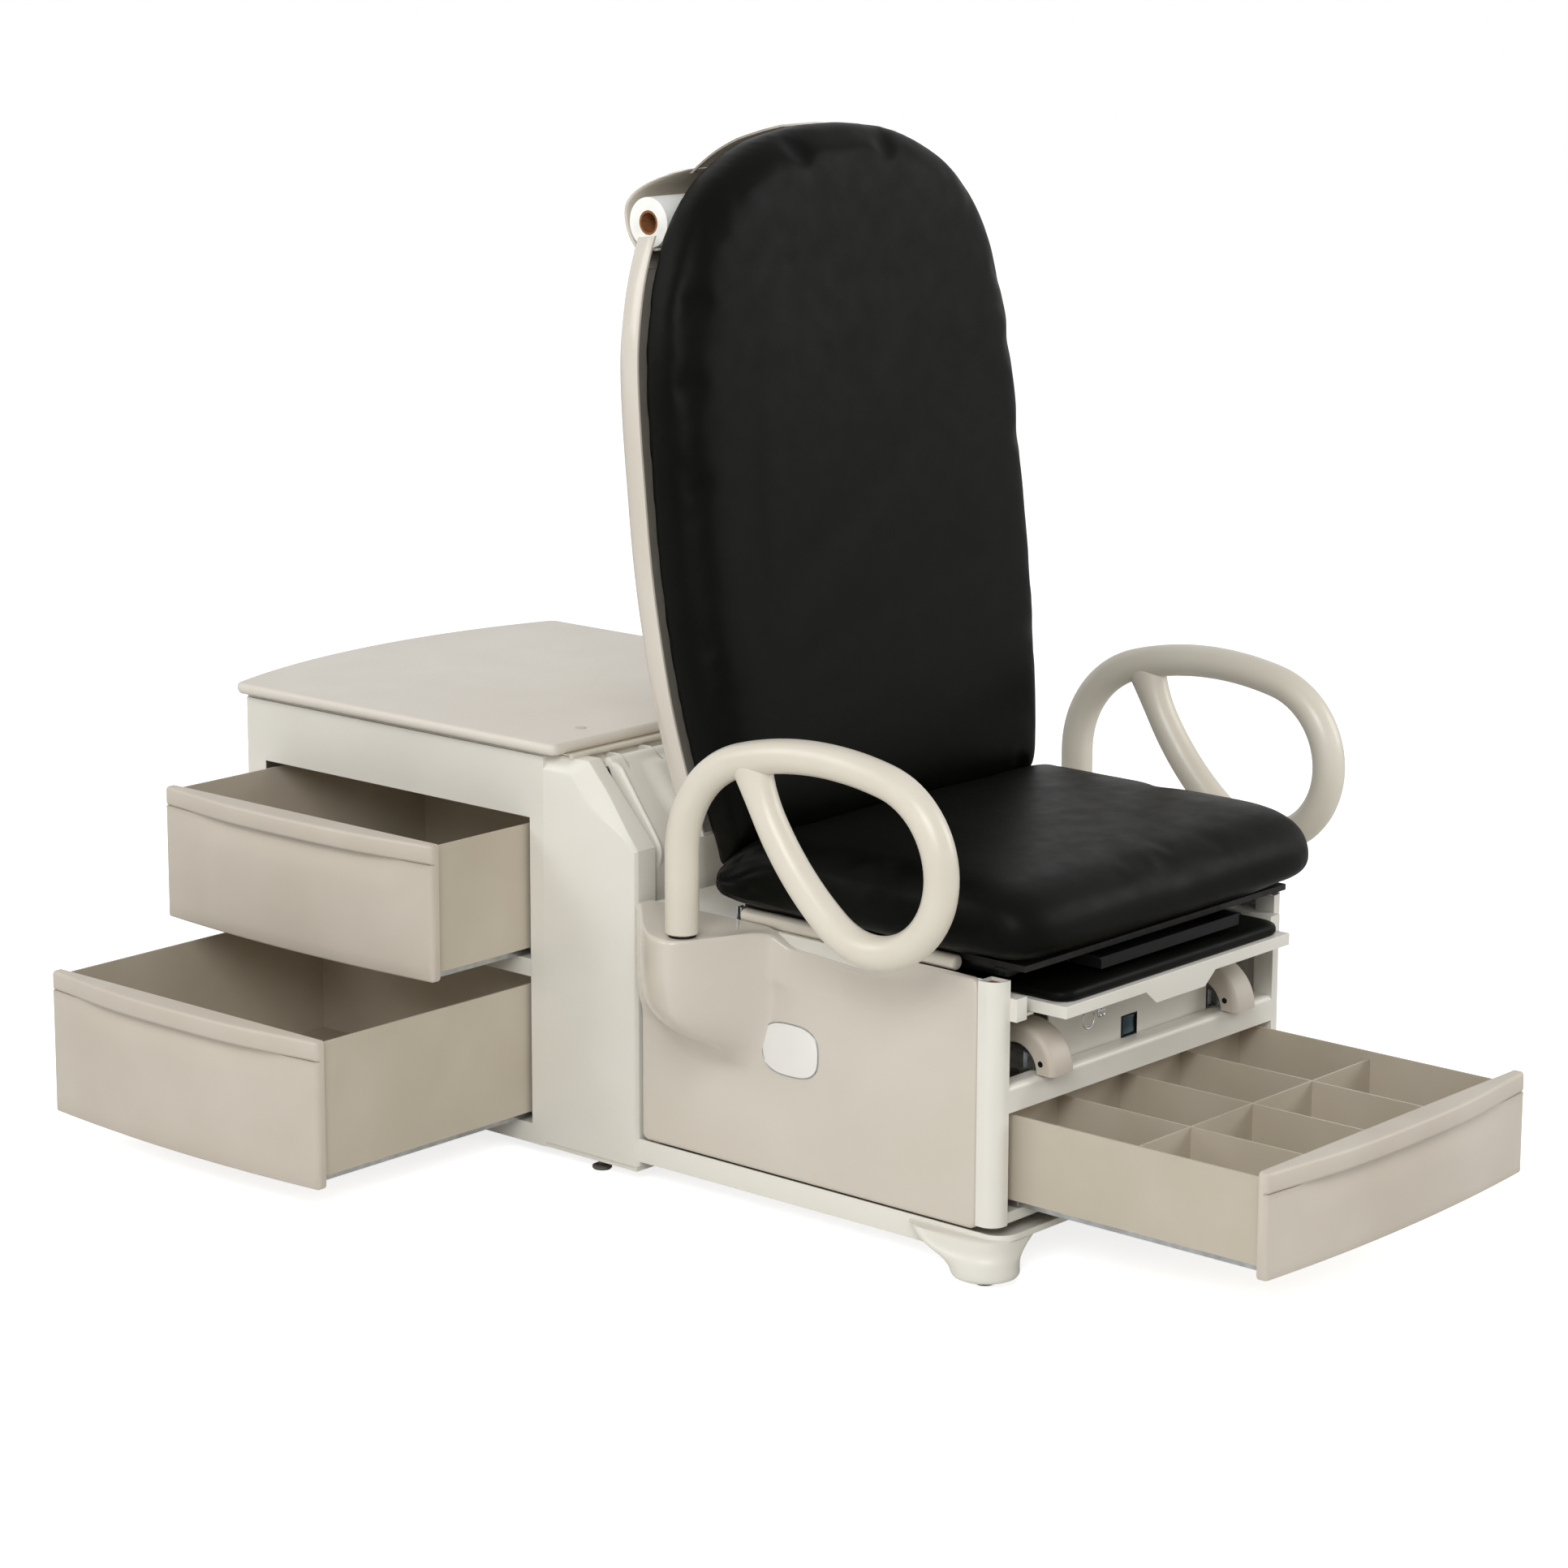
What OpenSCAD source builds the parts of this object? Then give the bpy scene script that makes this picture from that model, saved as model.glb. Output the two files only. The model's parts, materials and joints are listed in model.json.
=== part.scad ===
// Treatment table: a power lifted seat with a reclining back in front of a drawer cabinet.
// The origin is on the floor, midway across, level with the middle pair of levelling feet.
// +Z is up, the foot end points to -Y, and the side drawers open to -X.

/* [Feet and base] */
// Distance from the front levelling feet to the middle pair
foot_pitch = 679; // [620:1:740]
// Distance from the middle levelling feet to the rear pair
rear_foot_pitch = 640; // [600:1:645]
// Distance of the front levelling feet behind the front face of the lift frame
foot_setback = 18; // [12:1:40]
// Distance of the front levelling feet inside the sides of the base pan
foot_inset = 1; // [0:1:15]
// Distance of the cabinet levelling feet inside the sides of the cabinet
cabinet_foot_inset = 24; // [22:1:40]
// Radius of a levelling foot
foot_r = 13.5; // [11:0.5:18]
// Height of a levelling foot under its lock nut
foot_h = 6; // [5:0.5:9]
// Radius of the threaded stud of a levelling foot
stud_r = 5; // [4:0.5:6]
// Height of the lock nut
nut_h = 5; // [4:0.5:6]
// Radius of the bell shaped corner feet
bell_r = 43.5; // [36:0.5:50]
// Half of the width of the base pan
pan_half = 305; // [295:1:306]
// Height of the rim of the base pan above the floor
pan_top = 64; // [58:1:68]
// Height of the skirt of the base pan
pan_skirt = 32; // [24:1:36]
// Depth of the pan floor under its rim
pan_recess = 5; // [3:1:8]

/* [Cabinet] */
// Half of the width of the cabinet
cab_half = 310; // [308:1:330]
// Front wall of the drawer bay, behind the middle feet
cab_front = 83; // [78:1:90]
// Rear face of the cabinet, behind the middle feet
cab_rear = 673; // [668:1:700]
// Height of the top of the cabinet
cab_top = 566; // [560:1:580]
// Height of the underside of the cabinet
cab_bottom = 18; // [16:1:22]
// Thickness of the cabinet sheet
cab_sheet = 2; // [1.5:0.5:3]
// Height of the deck that the lower drawer runs on
cab_deck = 46; // [42:1:47]
// Height of the shelf that the upper drawer runs on
shelf_z = 278; // [270:1:280]
// Front edge of the wing panels, ahead of the middle feet
wing_front = 87; // [80:1:92]
// Width of the inward flange of a wing panel
wing_flange = 38; // [25:1:45]
// Height where the wing panels start to slope back
wing_knee = 460; // [430:1:480]
// Depth of the storage tray under the worktop
bin_depth = 78; // [60:1:80]

/* [Worktop lid] */
// Half of the width of the worktop lid
lid_half = 325; // [320:1:335]
// Thickness of the worktop lid
lid_t = 16; // [12:1:20]
// Front edge of the worktop lid, behind the middle feet
lid_front = 50; // [48:1:56]
// Rear corners of the worktop lid, behind the middle feet
lid_rear = 680; // [676:1:700]
// How far the rear edge of the worktop bows out at its middle
lid_bow = 58; // [30:1:80]
// Gap between the cabinet and the worktop lid
lid_gap = 4; // [3:0.5:6]
// Radius of the barrel of the long hinge
barrel_r = 4; // [3:0.25:4.5]
// Number of knuckles on the long hinge
knuckles = 25; // [15:2:31]

/* [Side drawers] */
// Width of a side drawer front
side_front_w = 530; // [515:1:540]
// Middle of the side drawers, behind the middle feet
side_mid_y = 372; // [368:1:380]
// How far the upper drawer is pulled out in the rest pose
upper_out = 172; // [0:1:380]
// How far the lower drawer is pulled out in the rest pose
lower_out = 383; // [0:1:400]
// Height of the upper drawer front
upper_front_h = 187; // [150:1:190]
// Height of the lower drawer front
lower_front_h = 200; // [170:1:215]
// Depth of the side drawer boxes
side_box_l = 480; // [400:1:560]

/* [Drawers in general] */
// Thickness of a drawer front at its ends
front_t = 14; // [10:1:20]
// How far a drawer front bows out at its middle
front_bow = 14; // [6:1:24]
// Height of the finger ledge along the top of a drawer front
ledge_h = 28; // [20:1:36]
// How far the finger ledge stands out
ledge_out = 8; // [5:1:14]
// Wall thickness of a drawer box
box_wall = 3; // [2:0.5:5]
// Width of a drawer runner
runner_w = 14; // [12:1:18]
// Height of a drawer runner
runner_h = 11; // [9:1:14]
// How much shorter the side drawer runners are than the drawer boxes
runner_short = 0; // [0:1:40]

/* [Front drawer] */
// Width of the front drawer front
foot_front_w = 570; // [540:1:590]
// Height of the front drawer front
foot_front_h = 135; // [120:1:140]
// How far the front drawer is pulled out in the rest pose
foot_out = 379; // [0:1:385]
// Depth of the front drawer box
foot_box_l = 420; // [380:1:425]
// Room for a runner between the front drawer box and the inside of a front post
foot_box_side = 15; // [15:1:24]
// Number of dividers that run front to back
long_dividers = 3; // [1:1:5]

/* [Lift frame] */
// Half of the width of the lift frame over its front posts
frame_half = 310; // [304:1:316]
// Width of a front post
post_w = 27; // [22:1:30]
// Depth of a front post
post_d = 30; // [24:1:36]
// Radius of the outer corner of a front post
post_r = 20; // [12:1:21]
// Height of the underside of the lift frame
frame_bottom = 74; // [70:1:80]
// Height of the top of the lift frame
frame_top = 392; // [385:1:396]
// Thickness of the lift frame sheet
sheet = 2; // [1.5:0.5:3]
// Rear end of the lift frame, ahead of the middle feet
frame_rear = 102; // [98:1:110]
// Height of the underside of the cross rail
rail_z = 220; // [219:1:224]
// Height of the cross rail
rail_h = 35; // [30:1:36]
// Depth of the cross rail
rail_d = 25; // [20:1:27]
// Rear edge of the drawer floor and of the shelf, ahead of the middle feet
bay_rear = 240; // [235:1:250]

/* [Lift column] */
// Travel of the seat lift
lift_travel = 460; // [300:1:470]
// Width of the fixed tube of the lift column
column_w = 190; // [160:1:220]
// Depth of the fixed tube of the lift column
column_d = 106; // [90:1:110]
// Wall of the lift column tubes
column_wall = 6; // [4:0.5:8]
// Running gap between the lift column tubes
column_gap = 1; // [0.5:0.25:2]
// Middle of the lift column, ahead of the middle feet
column_y = 165; // [160:1:170]

/* [Side shrouds and arms] */
// Thickness of a side shroud at its flat part
shroud_t = 9; // [6:1:12]
// Rear edge of the shrouds, ahead of the middle feet
shroud_rear = 96; // [95:1:104]
// Distance of an arm from the side of the lift frame
arm_out = 103; // [95:1:115]
// Distance of the arm posts ahead of the middle feet
arm_y = 264.6; // [255:0.1:275]
// Radius of the arm tube
arm_r = 22; // [19:0.5:25]
// Height of the foot of the arm post
arm_z = 402; // [400:1:410]
// Length of the straight arm post
arm_post_l = 106; // [90:1:120]
// Radius of the pivot pin inside the arm post
pivot_r = 14; // [11:0.5:15]
// Radius of the boss that carries the arm post
boss_r = 34; // [30:1:40]
// Height where the boss runs out into the shroud
boss_low = 190; // [160:1:240]

/* [Foot tray and treatment pan] */
// Distance of the foot tray from the inner faces of the front posts
tray_side = 42; // [38:1:58]
// Height of the top of the foot tray
tray_z = 359; // [356:1:362]
// Height of the front lip of the foot tray
tray_lip = 16; // [12:1:18]
// Distance of the front lip ahead of the lift frame
tray_ahead = 55; // [40:1:60]
// Length of the foot tray
tray_l = 502; // [450:1:510]
// Depth of the tab in the middle of the front lip
tab_drop = 18; // [10:1:20]
// Half of the width of the tab at its top
tab_half = 75; // [60:1:90]
// Thickness of the foot pad
pad_t = 18; // [12:1:20]
// Distance of the treatment pan from the front posts
basin_side = 135; // [133:1:163]
// Depth of the treatment pan
basin_h = 15; // [10:1:16]
// Length of the treatment pan
basin_l = 300; // [250:1:320]

/* [Stirrups] */
// Distance of a stirrup from the inner face of its front post
stirrup_side = 85.5; // [78:0.5:88]
// Width of a heel cup
cup_w = 47; // [40:1:52]
// Outer radius of a heel cup
cup_r = 62; // [56:1:64]
// Thickness of the wall of a heel cup
cup_t = 27; // [20:1:30]
// Width of a stirrup arm
stirrup_w = 24; // [18:1:26]
// Height of a stirrup arm
stirrup_h = 20; // [16:1:22]
// Length of a stirrup arm
stirrup_l = 550; // [500:1:555]

/* [Switch] */
// Distance of the ends of the switch panel from the front posts
panel_side = 113; // [111:1:133]
// Width of the rocker opening
rocker_w = 33; // [24:1:36]
// Height of the rocker opening
rocker_h = 29; // [24:1:34]

/* [Seat] */
// How far the seat cushion reaches past the side of the lift frame
seat_over = 21; // [0:1:35]
// Front of the seat cushion, ahead of the lift frame
seat_ahead = 60; // [50:1:70]
// Height of the underside of the seat cushion
seat_z = 413; // [411:1:416]
// Thickness of the seat cushion at its edge
seat_t = 95; // [80:1:110]
// How much higher the seat cushion is at its middle
seat_crown = 16; // [6:1:24]

/* [Back] */
// Height of the back hinge
hinge_z = 452; // [446:1:458]
// Distance of the back hinge ahead of the middle feet
hinge_y = 222; // [218:1:226]
// Lean of the back in the rest pose
back_lean = 7.5; // [5:0.5:10]
// Length of the back cushion above the hinge
back_l = 964; // [850:1:980]
// Half of the largest width of the back cushion
back_half = 360; // [340:1:366]
// Thickness of the back cushion
back_t = 76; // [65:1:80]
// Distance of the cushion rear face behind the hinge
back_rear = 5; // [4:1:7]
// Depth of the back shell
shell_d = 44; // [38:1:46]
// Wall of the back shell
shell_wall = 3; // [2:0.5:4]
// Swing of the lumbar curve of the back
lumbar = 8; // [0:1:12]

/* [Paper roll] */
// Radius of the paper roll
roll_r = 33; // [25:1:38]
// Radius of the hole in the roll core
core_r = 13; // [10:1:15]
// Length of the paper roll
roll_l = 533; // [450:1:540]
// Height of the roll above the hinge, along the back
roll_s = 846; // [840:1:850]
// Distance of the roll behind the hinge, square to the back
roll_n = 39; // [38:1:42]
// Wall of the roll hood
hood_wall = 3.5; // [2.5:0.5:5]

/* [Hidden] */
$fn = 64;
// How far a cut runs past the face that it opens
cut = 1;
// Running gap of a pin or a sliding member
slip = 0.06;
// Gap between moving pieces that lie side by side
near = 0.3;
front_y = -(foot_pitch + foot_setback);
front_foot_x = pan_half - foot_inset;
cabinet_foot_x = cab_half - cabinet_foot_inset;
bell_bottom = foot_h + nut_h;
pan_floor = pan_top - pan_recess;
pan_ahead = 11;
pan_front = front_y - pan_ahead;
pan_rear = -wing_front;
pan_r = 30;
floor_t = 3;
enamel = "#D9D6CA";
taupe = "#C9C0B3";
cream = "#D8D2C4";
vinyl = "#1E1F1A";
zinc = "#B9BCBD";
black = "#222222";
deck_t = cab_sheet;
bin_rim = 23;
wing_x = cab_half - wing_flange;
wing_top_y = 13;
wing_lift = 7;
wing_bottom = cab_bottom + wing_lift;
cover_t = 3;
cover_set = 10;
cover_swell_share = 0.7;
slot_shares = [-0.85, -0.62, 0.62, 0.85];
trough_depth = 16;
swell_in = 24;
swell_out = 31;
swell_front = 14;
hinge_axis_y = 40;
hinge_axis_z = cab_top + 2;
hinge_room = barrel_r + 1;
leaf_t = 1.3;
leaf_end = 72;
leaf_gap = 0.6;
hinge_half = 300;
knuckle_l = 2 * hinge_half / knuckles;
pin_r = 1.5;
lid_z = cab_top + lid_gap;
face_x = -cab_half;
closed_gap = 1;
runner_wall = 1.5;
runner_l = side_box_l - runner_short;
bar_w = runner_w - 2 * runner_wall - 2 * near;
bar_h = 8;
peg_r = 4;
peg_h = 5;
runner_inset = 22;
box_rise = runner_wall + near + bar_h + peg_h;
front_overlap = 8;
side_box_w = side_front_w - 2 * front_overlap;
front_clear = 5;
opening_play = 2;
peg_shares = [0.08, 0.5, 0.8];
upper_z = shelf_z;
lower_z = cab_deck;
foot_rise = 14;
foot_z = frame_bottom + foot_rise;
foot_box_h = 111;
divider_h = 98;
upper_x = face_x - closed_gap - upper_out;
lower_x = face_x - closed_gap - lower_out;
foot_y = front_y - closed_gap - foot_out;
frame_in = frame_half - post_w;
foot_box_half = frame_in - foot_box_side;
wrap_step = 8;
wrap_half = frame_half - wrap_step;
tray_half = frame_in - tray_side;
arm_x = frame_half + arm_out;
seat_half = frame_half + seat_over;
basin_half = frame_in - basin_side;
panel_half = frame_in - panel_side;
stirrup_x = frame_in - stirrup_side;
flange_set = 5;
shelf_top = rail_z - sheet;
panel_y = front_y + rail_d + sheet;
panel_h = 104;
panel_top = shelf_top + panel_h;
rocker_up = 51.5;
rocker_z = shelf_top + rocker_up;
bar_z = rail_z + rail_h + 2;
guide_wall = 3;
collar_t = 4;
badge_t = 1.6;
badge_w = 98;
badge_h = 68;
badge_set = 337;
badge_drop = 150;
bezel = 2;
rocker_pin_r = 1.5;
cup_rear_share = 0.4;
arm_loop_r = 107;
core_t = 3;
hood_low_share = 1.42;
hood_foot_share = 0.3;
hood_bend_share = 0.73;
hood_open_share = 1.76;
hood_high_share = 2.12;
hood_top_share = 2.03;
tab_share = 0.7;
pad_inset = 5;
guide_front = panel_y + 2 * guide_wall;
pivot_y = front_y;
pivot_up = 13;
pivot_z = bar_z + pivot_up;
pivot_pin_r = 4;
tongue_r = 9;
tongue_t = 8;
bar_set = 19;
bar_front = front_y + bar_set;
cup_set = 42;
column_top = 33;
column_step = 26;
column_foot = 20;
cup_y = front_y + cup_set;
cup_z = rail_z + rail_h + cut;
basin_drop = 6;
basin_z = frame_top - basin_drop;
basin_ahead = 38;
basin_front = front_y - basin_ahead;
basin_rim = 4;
bracket_w = 21;
bracket_ahead = 10;
runner_inner = frame_in - bracket_w;
deck_front = 400;
board_top = seat_z - near;
board_t = 8;
board_ahead = 20;
board_rear = 10;
rail_w = 20;
seat_rail_x = frame_in - rail_w / 2 + sheet;
ear_room = 40;
tube_l = 358;
tube_r = 10;
board_half = wrap_half - 2 * tube_r - 2 * cut;
tube_x = wrap_half - tube_r - 1;
ear_x = 120;
ear_t = 8;
knuckle_r = 15;
seat_reach = 200;
seat_gap = 22;
hinge_pin_r = 8;
shell_n = back_rear + near;
hood_half = roll_l / 2 + 2;
shell_low = 46;
frame_bar = 18;
frame_low = 70;

// A box given by its ranges in x, y and z
module block(x, y, z) {
    translate([x[0], y[0], z[0]]) cube([x[1] - x[0], y[1] - y[0], z[1] - z[0]]);
}

// The children and their mirror image on the other side of the table
module both_sides() {
    children();
    mirror([1, 0, 0]) children();
}

// A flat outline with rounded corners, w wide about x = 0, from y0 to y1
module round_rect(w, y0, y1, r) {
    translate([-w / 2 + r, y0]) square([w - 2 * r, y1 - y0]);
    translate([-w / 2, y0 + r]) square([w, y1 - y0 - 2 * r]);
    for (x = [-w / 2 + r, w / 2 - r], y = [y0 + r, y1 - r]) translate([x, y]) circle(r);
}

// A flat outline drawn in (y, z), extruded along x from x0 to x1
module along_x(x0, x1) {
    translate([x0, 0, 0]) rotate([90, 0, 90]) linear_extrude(x1 - x0) children();
}

// A cylinder along x from x0 to x1
module rod_x(r, x0, x1, y, z) {
    translate([x0, y, z]) rotate([0, 90, 0]) cylinder(h = x1 - x0, r = r);
}

// A closed skin through rings of equal length, with a fan at either end
module loft(rings) {
    n = len(rings[0]);
    m = len(rings);
    middle = function(ring) [for (k = [0 : 2]) ([for (p = ring) p[k]] * [for (p = ring) 1]) / len(ring)];
    points = concat([for (ring = rings, p = ring) p], [middle(rings[0]), middle(rings[m - 1])]);
    sides = [for (j = [0 : m - 2], i = [0 : n - 1], half = [0, 1])
        let (a = j * n + i, b = j * n + (i + 1) % n)
        half == 0 ? [a, b + n, b] : [a, a + n, b + n]];
    low = [for (i = [0 : n - 1]) [i, (i + 1) % n, n * m]];
    high = [for (i = [0 : n - 1]) [(m - 1) * n + (i + 1) % n, (m - 1) * n + i, n * m + 1]];
    polyhedron(points = points, faces = concat(sides, low, high));
}

// Base pan with its two bell feet
module base_pan() {
    inner_half = pan_half - floor_t;
    inner_r = pan_r - floor_t;
    y = [pan_front + floor_t, pan_rear - floor_t];
    color(enamel) difference() {
        union() {
            difference() {
                translate([0, 0, pan_top - pan_skirt]) linear_extrude(pan_skirt)
                    round_rect(2 * pan_half, pan_front, pan_rear, pan_r);
                translate([0, 0, pan_floor]) linear_extrude(pan_recess + cut)
                    round_rect(2 * inner_half, y[0], y[1], inner_r);
                translate([0, 0, pan_top - pan_skirt - cut])
                    linear_extrude(pan_skirt - pan_recess - floor_t + cut)
                    round_rect(2 * inner_half, y[0], y[1], inner_r);
            }
            for (x = [-front_foot_x, front_foot_x]) translate([x, -foot_pitch, 0]) bell_foot();
        }
        for (x = [-front_foot_x, front_foot_x])
            translate([x, -foot_pitch, bell_bottom - cut])
            cylinder(h = pan_floor - floor_t - bell_bottom, r = stud_r + slip);
    }
}

// A bell foot, from its rounded bottom to the underside of the pan floor
module bell_foot() {
    top = pan_floor - floor_t;
    edge = 7;
    low_share = 0.3;
    high_share = 0.6;
    rotate_extrude() polygon([[0, bell_bottom], [bell_r - edge, bell_bottom],
        [bell_r - low_share * edge, bell_bottom + low_share * edge], [bell_r, bell_bottom + edge],
        [bell_r, top - 2 * edge], [bell_r - edge, top - high_share * edge],
        [bell_r - 2 * edge, top], [0, top]]);
}

// One levelling foot: pad, stud and lock nut
module levelling_foot(seat, stud_top) {
    bevel = stud_r / 3;
    nut_share = 1.9;
    rotate_extrude() polygon([[0, 0], [foot_r - bevel, 0], [foot_r, bevel], [foot_r, foot_h - bevel],
        [foot_r - 2 * bevel, foot_h], [stud_r, foot_h], [stud_r, stud_top], [0, stud_top]]);
    translate([0, 0, seat - nut_h]) difference() {
        cylinder(h = nut_h, r = nut_share * stud_r, $fn = 6);
        translate([0, 0, -cut]) cylinder(h = nut_h + 2 * cut, r = stud_r + slip);
    }
}

// Six levelling feet
module levelling_feet() {
    color(black) both_sides() {
        translate([front_foot_x, -foot_pitch, 0]) levelling_foot(bell_bottom, pan_floor - floor_t - 2 * cut);
        for (y = [0, rear_foot_pitch])
            translate([cabinet_foot_x, y, 0]) levelling_foot(cab_bottom, cab_deck - deck_t - 2 * cut);
    }
}

// Rear, right and front walls of the cabinet
module cabinet_wrap() {
    color(enamel) {
        block([face_x + cab_sheet, cab_half], [cab_rear - cab_sheet, cab_rear],
            [cab_bottom, cab_top - cab_sheet]);
        block([cab_half - cab_sheet, cab_half], [cab_front, cab_rear], [cab_bottom, cab_top - cab_sheet]);
        block([face_x + cab_sheet, cab_half], [cab_front, cab_front + cab_sheet],
            [cab_deck, cab_top - cab_sheet]);
    }
}

// Floor pan of the cabinet, with the bosses that the levelling feet screw into
module cabinet_floor() {
    x = cab_half - cab_sheet;
    y = [-wing_front + cab_sheet, cab_rear - cab_sheet];
    color(enamel) difference() {
        union() {
            difference() {
                block([-x, x], y, [cab_bottom, cab_deck]);
                block([-x + cab_sheet, x - cab_sheet], [y[0] + cab_sheet, y[1] - cab_sheet],
                    [cab_bottom - cut, cab_deck - deck_t]);
            }
            both_sides() for (fy = [0, rear_foot_pitch])
                translate([cabinet_foot_x, fy, cab_bottom])
                    cylinder(h = cab_deck - cab_bottom - deck_t, r = 3 * stud_r);
        }
        both_sides() for (fy = [0, rear_foot_pitch])
            translate([cabinet_foot_x, fy, cab_bottom - cut])
            cylinder(h = cab_deck - cab_bottom - deck_t, r = stud_r + slip);
    }
}

// Left face of the cabinet, with the drawer opening, the divider rail and the shelf of the upper drawer
module drawer_face_frame() {
    y0 = side_mid_y - side_front_w / 2 + opening_play;
    y1 = side_mid_y + side_front_w / 2 - opening_play / 2;
    top = upper_z + 2 * front_clear + upper_front_h + cut;
    color(enamel) {
        difference() {
            block([face_x, face_x + cab_sheet], [cab_front, cab_rear], [cab_bottom, cab_top - cab_sheet]);
            block([face_x - cut, face_x + cab_sheet + cut], [y0, y1], [cab_deck, top]);
        }
        block([face_x + cab_sheet, face_x + rail_d], [cab_front + cab_sheet, cab_rear - cab_sheet],
            [shelf_z - rail_d, shelf_z]);
        block([face_x + rail_d, cab_half - cab_sheet], [cab_front + cab_sheet, cab_rear - cab_sheet],
            [shelf_z - cab_sheet, shelf_z]);
    }
}

// Open storage tray under the worktop, hung by its rim
module bin_tray() {
    x = cab_half - cab_sheet;
    y = [cab_front + cab_sheet, cab_rear - cab_sheet];
    xi = x - bin_rim;
    color(enamel) difference() {
        union() {
            block([-x, x], [cab_front, cab_rear], [cab_top - cab_sheet, cab_top]);
            block([-xi, xi], [y[0] + bin_rim, y[1] - bin_rim], [cab_top - bin_depth, cab_top - cab_sheet]);
        }
        block([-xi + cab_sheet, xi - cab_sheet], [y[0] + bin_rim + cab_sheet, y[1] - bin_rim - cab_sheet],
            [cab_top - bin_depth + cab_sheet, cab_top + cut]);
    }
}

// Outline of a wing panel in (y, z) down to height low, drawn in by i
module wing_outline(i, low, back) {
    lean_share = 0.45;
    lean = i * lean_share;
    polygon([[-wing_front + i, low], [back, low], [back, cab_top - i], [wing_top_y + lean, cab_top - i],
        [-wing_front + i, wing_knee - lean]]);
}

// The two wing panels that close the sides of the front cover
module wing_panels() {
    color(enamel) both_sides() difference() {
        along_x(wing_x, cab_half) wing_outline(0, wing_bottom, cab_front);
        along_x(wing_x - cut, cab_half - cab_sheet)
            wing_outline(cab_sheet, wing_bottom - cut, cab_front + cut);
        block([wing_x - cut, hinge_half + cut], [hinge_axis_y - hinge_room, hinge_axis_y + hinge_room],
            [cab_top - 2 * cab_sheet, cab_top + cut]);
    }
}

// Sloping cover between the wings, with the trough under the long hinge and a swelling in its middle
module front_cover() {
    t = cover_t;
    trough_y = hinge_axis_y + barrel_r + cab_sheet;
    trough_z = cab_top - trough_depth;
    face_y = -wing_front + cover_set;
    rib_pitch = (wing_x - 2 * t) / 4;
    swell = cover_swell_share * wing_x;
    slots = [for (share = slot_shares) share * wing_x];
    swell_low = wing_knee + swell_in;
    swell_high = cab_top - swell_in;
    swell_end = wing_knee - 2 * swell_out;
    slot_in = 24;
    slot_deep = 18;
    color(enamel) difference() {
        union() {
            along_x(-wing_x, wing_x) polygon([[cab_front, cab_top], [trough_y, cab_top], [trough_y, trough_z],
                [wing_top_y + t, trough_z], [wing_top_y + t, cab_top - t], [wing_top_y - t, cab_top - t],
                [face_y, wing_knee - t], [face_y, cab_deck], [face_y + t, cab_deck],
                [face_y + t, wing_knee - 2 * t], [wing_top_y, trough_z - t], [trough_y + t, trough_z - t],
                [trough_y + t, cab_top - t], [cab_front, cab_top - t]]);
            for (x = [-wing_x + 2 * t : rib_pitch : wing_x - 2 * t])
                block([x - t / 2, x + t / 2], [wing_top_y + t, trough_y], [trough_z - t, cab_top - 2 * t]);
            along_x(-swell, swell) polygon([[wing_top_y - 6 * t, swell_high], [face_y + swell_in, swell_low],
                [face_y + t, wing_knee - 2 * t], [face_y + t, swell_end], [face_y, swell_end],
                [face_y - swell_front, wing_knee - swell_in], [face_y - swell_front, wing_knee - 2 * t],
                [face_y, swell_low], [wing_top_y - swell_out, swell_high]]);
        }
        for (x = slots)
            block([x - t, x + t], [wing_top_y - slot_in, wing_top_y + 2 * t], [cab_top - slot_deep, cab_top]);
    }
}

// Knuckles of the long hinge from number first, every other one
module hinge_knuckles(first, bore) {
    for (i = [first : 2 : knuckles - 1]) {
        x = -hinge_half + i * knuckle_l;
        difference() {
            rod_x(barrel_r, x + near / 2, x + knuckle_l - near / 2, hinge_axis_y, hinge_axis_z);
            rod_x(bore, -hinge_half - cut, hinge_half + cut, hinge_axis_y, hinge_axis_z);
        }
    }
}

// One leaf of the long hinge: a strip with a tab at each knuckle
module hinge_leaf(first, z0) {
    start = hinge_axis_y + barrel_r + leaf_gap;
    block([-hinge_half, hinge_half], [start, leaf_end], [z0, z0 + leaf_t]);
    for (i = [first : 2 : knuckles - 1])
        block([-hinge_half + i * knuckle_l + near / 2, -hinge_half + (i + 1) * knuckle_l - near / 2],
            [hinge_axis_y + 2 * pin_r, start + cut], [z0, z0 + leaf_t]);
}

// Fixed leaf of the long hinge, with the pin
module lid_hinge_base() {
    color(cream) {
        hinge_leaf(0, cab_top);
        hinge_knuckles(0, pin_r);
        rod_x(pin_r, -hinge_half, hinge_half, hinge_axis_y, hinge_axis_z);
    }
}

// Leaf of the long hinge that is screwed under the worktop
module lid_hinge_leaf() {
    color(cream) {
        hinge_leaf(1, lid_z - leaf_t);
        hinge_knuckles(1, pin_r + slip);
    }
}

// Rubber bumpers that the worktop rests on
module lid_bumpers() {
    in = bin_rim / 2;
    bumper_share = 0.6;
    color(black) both_sides() for (y = [cab_front + in, cab_rear - in])
        translate([cab_half - cab_sheet - in, y, cab_top]) cylinder(h = lid_gap, r = bumper_share * in);
}

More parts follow.
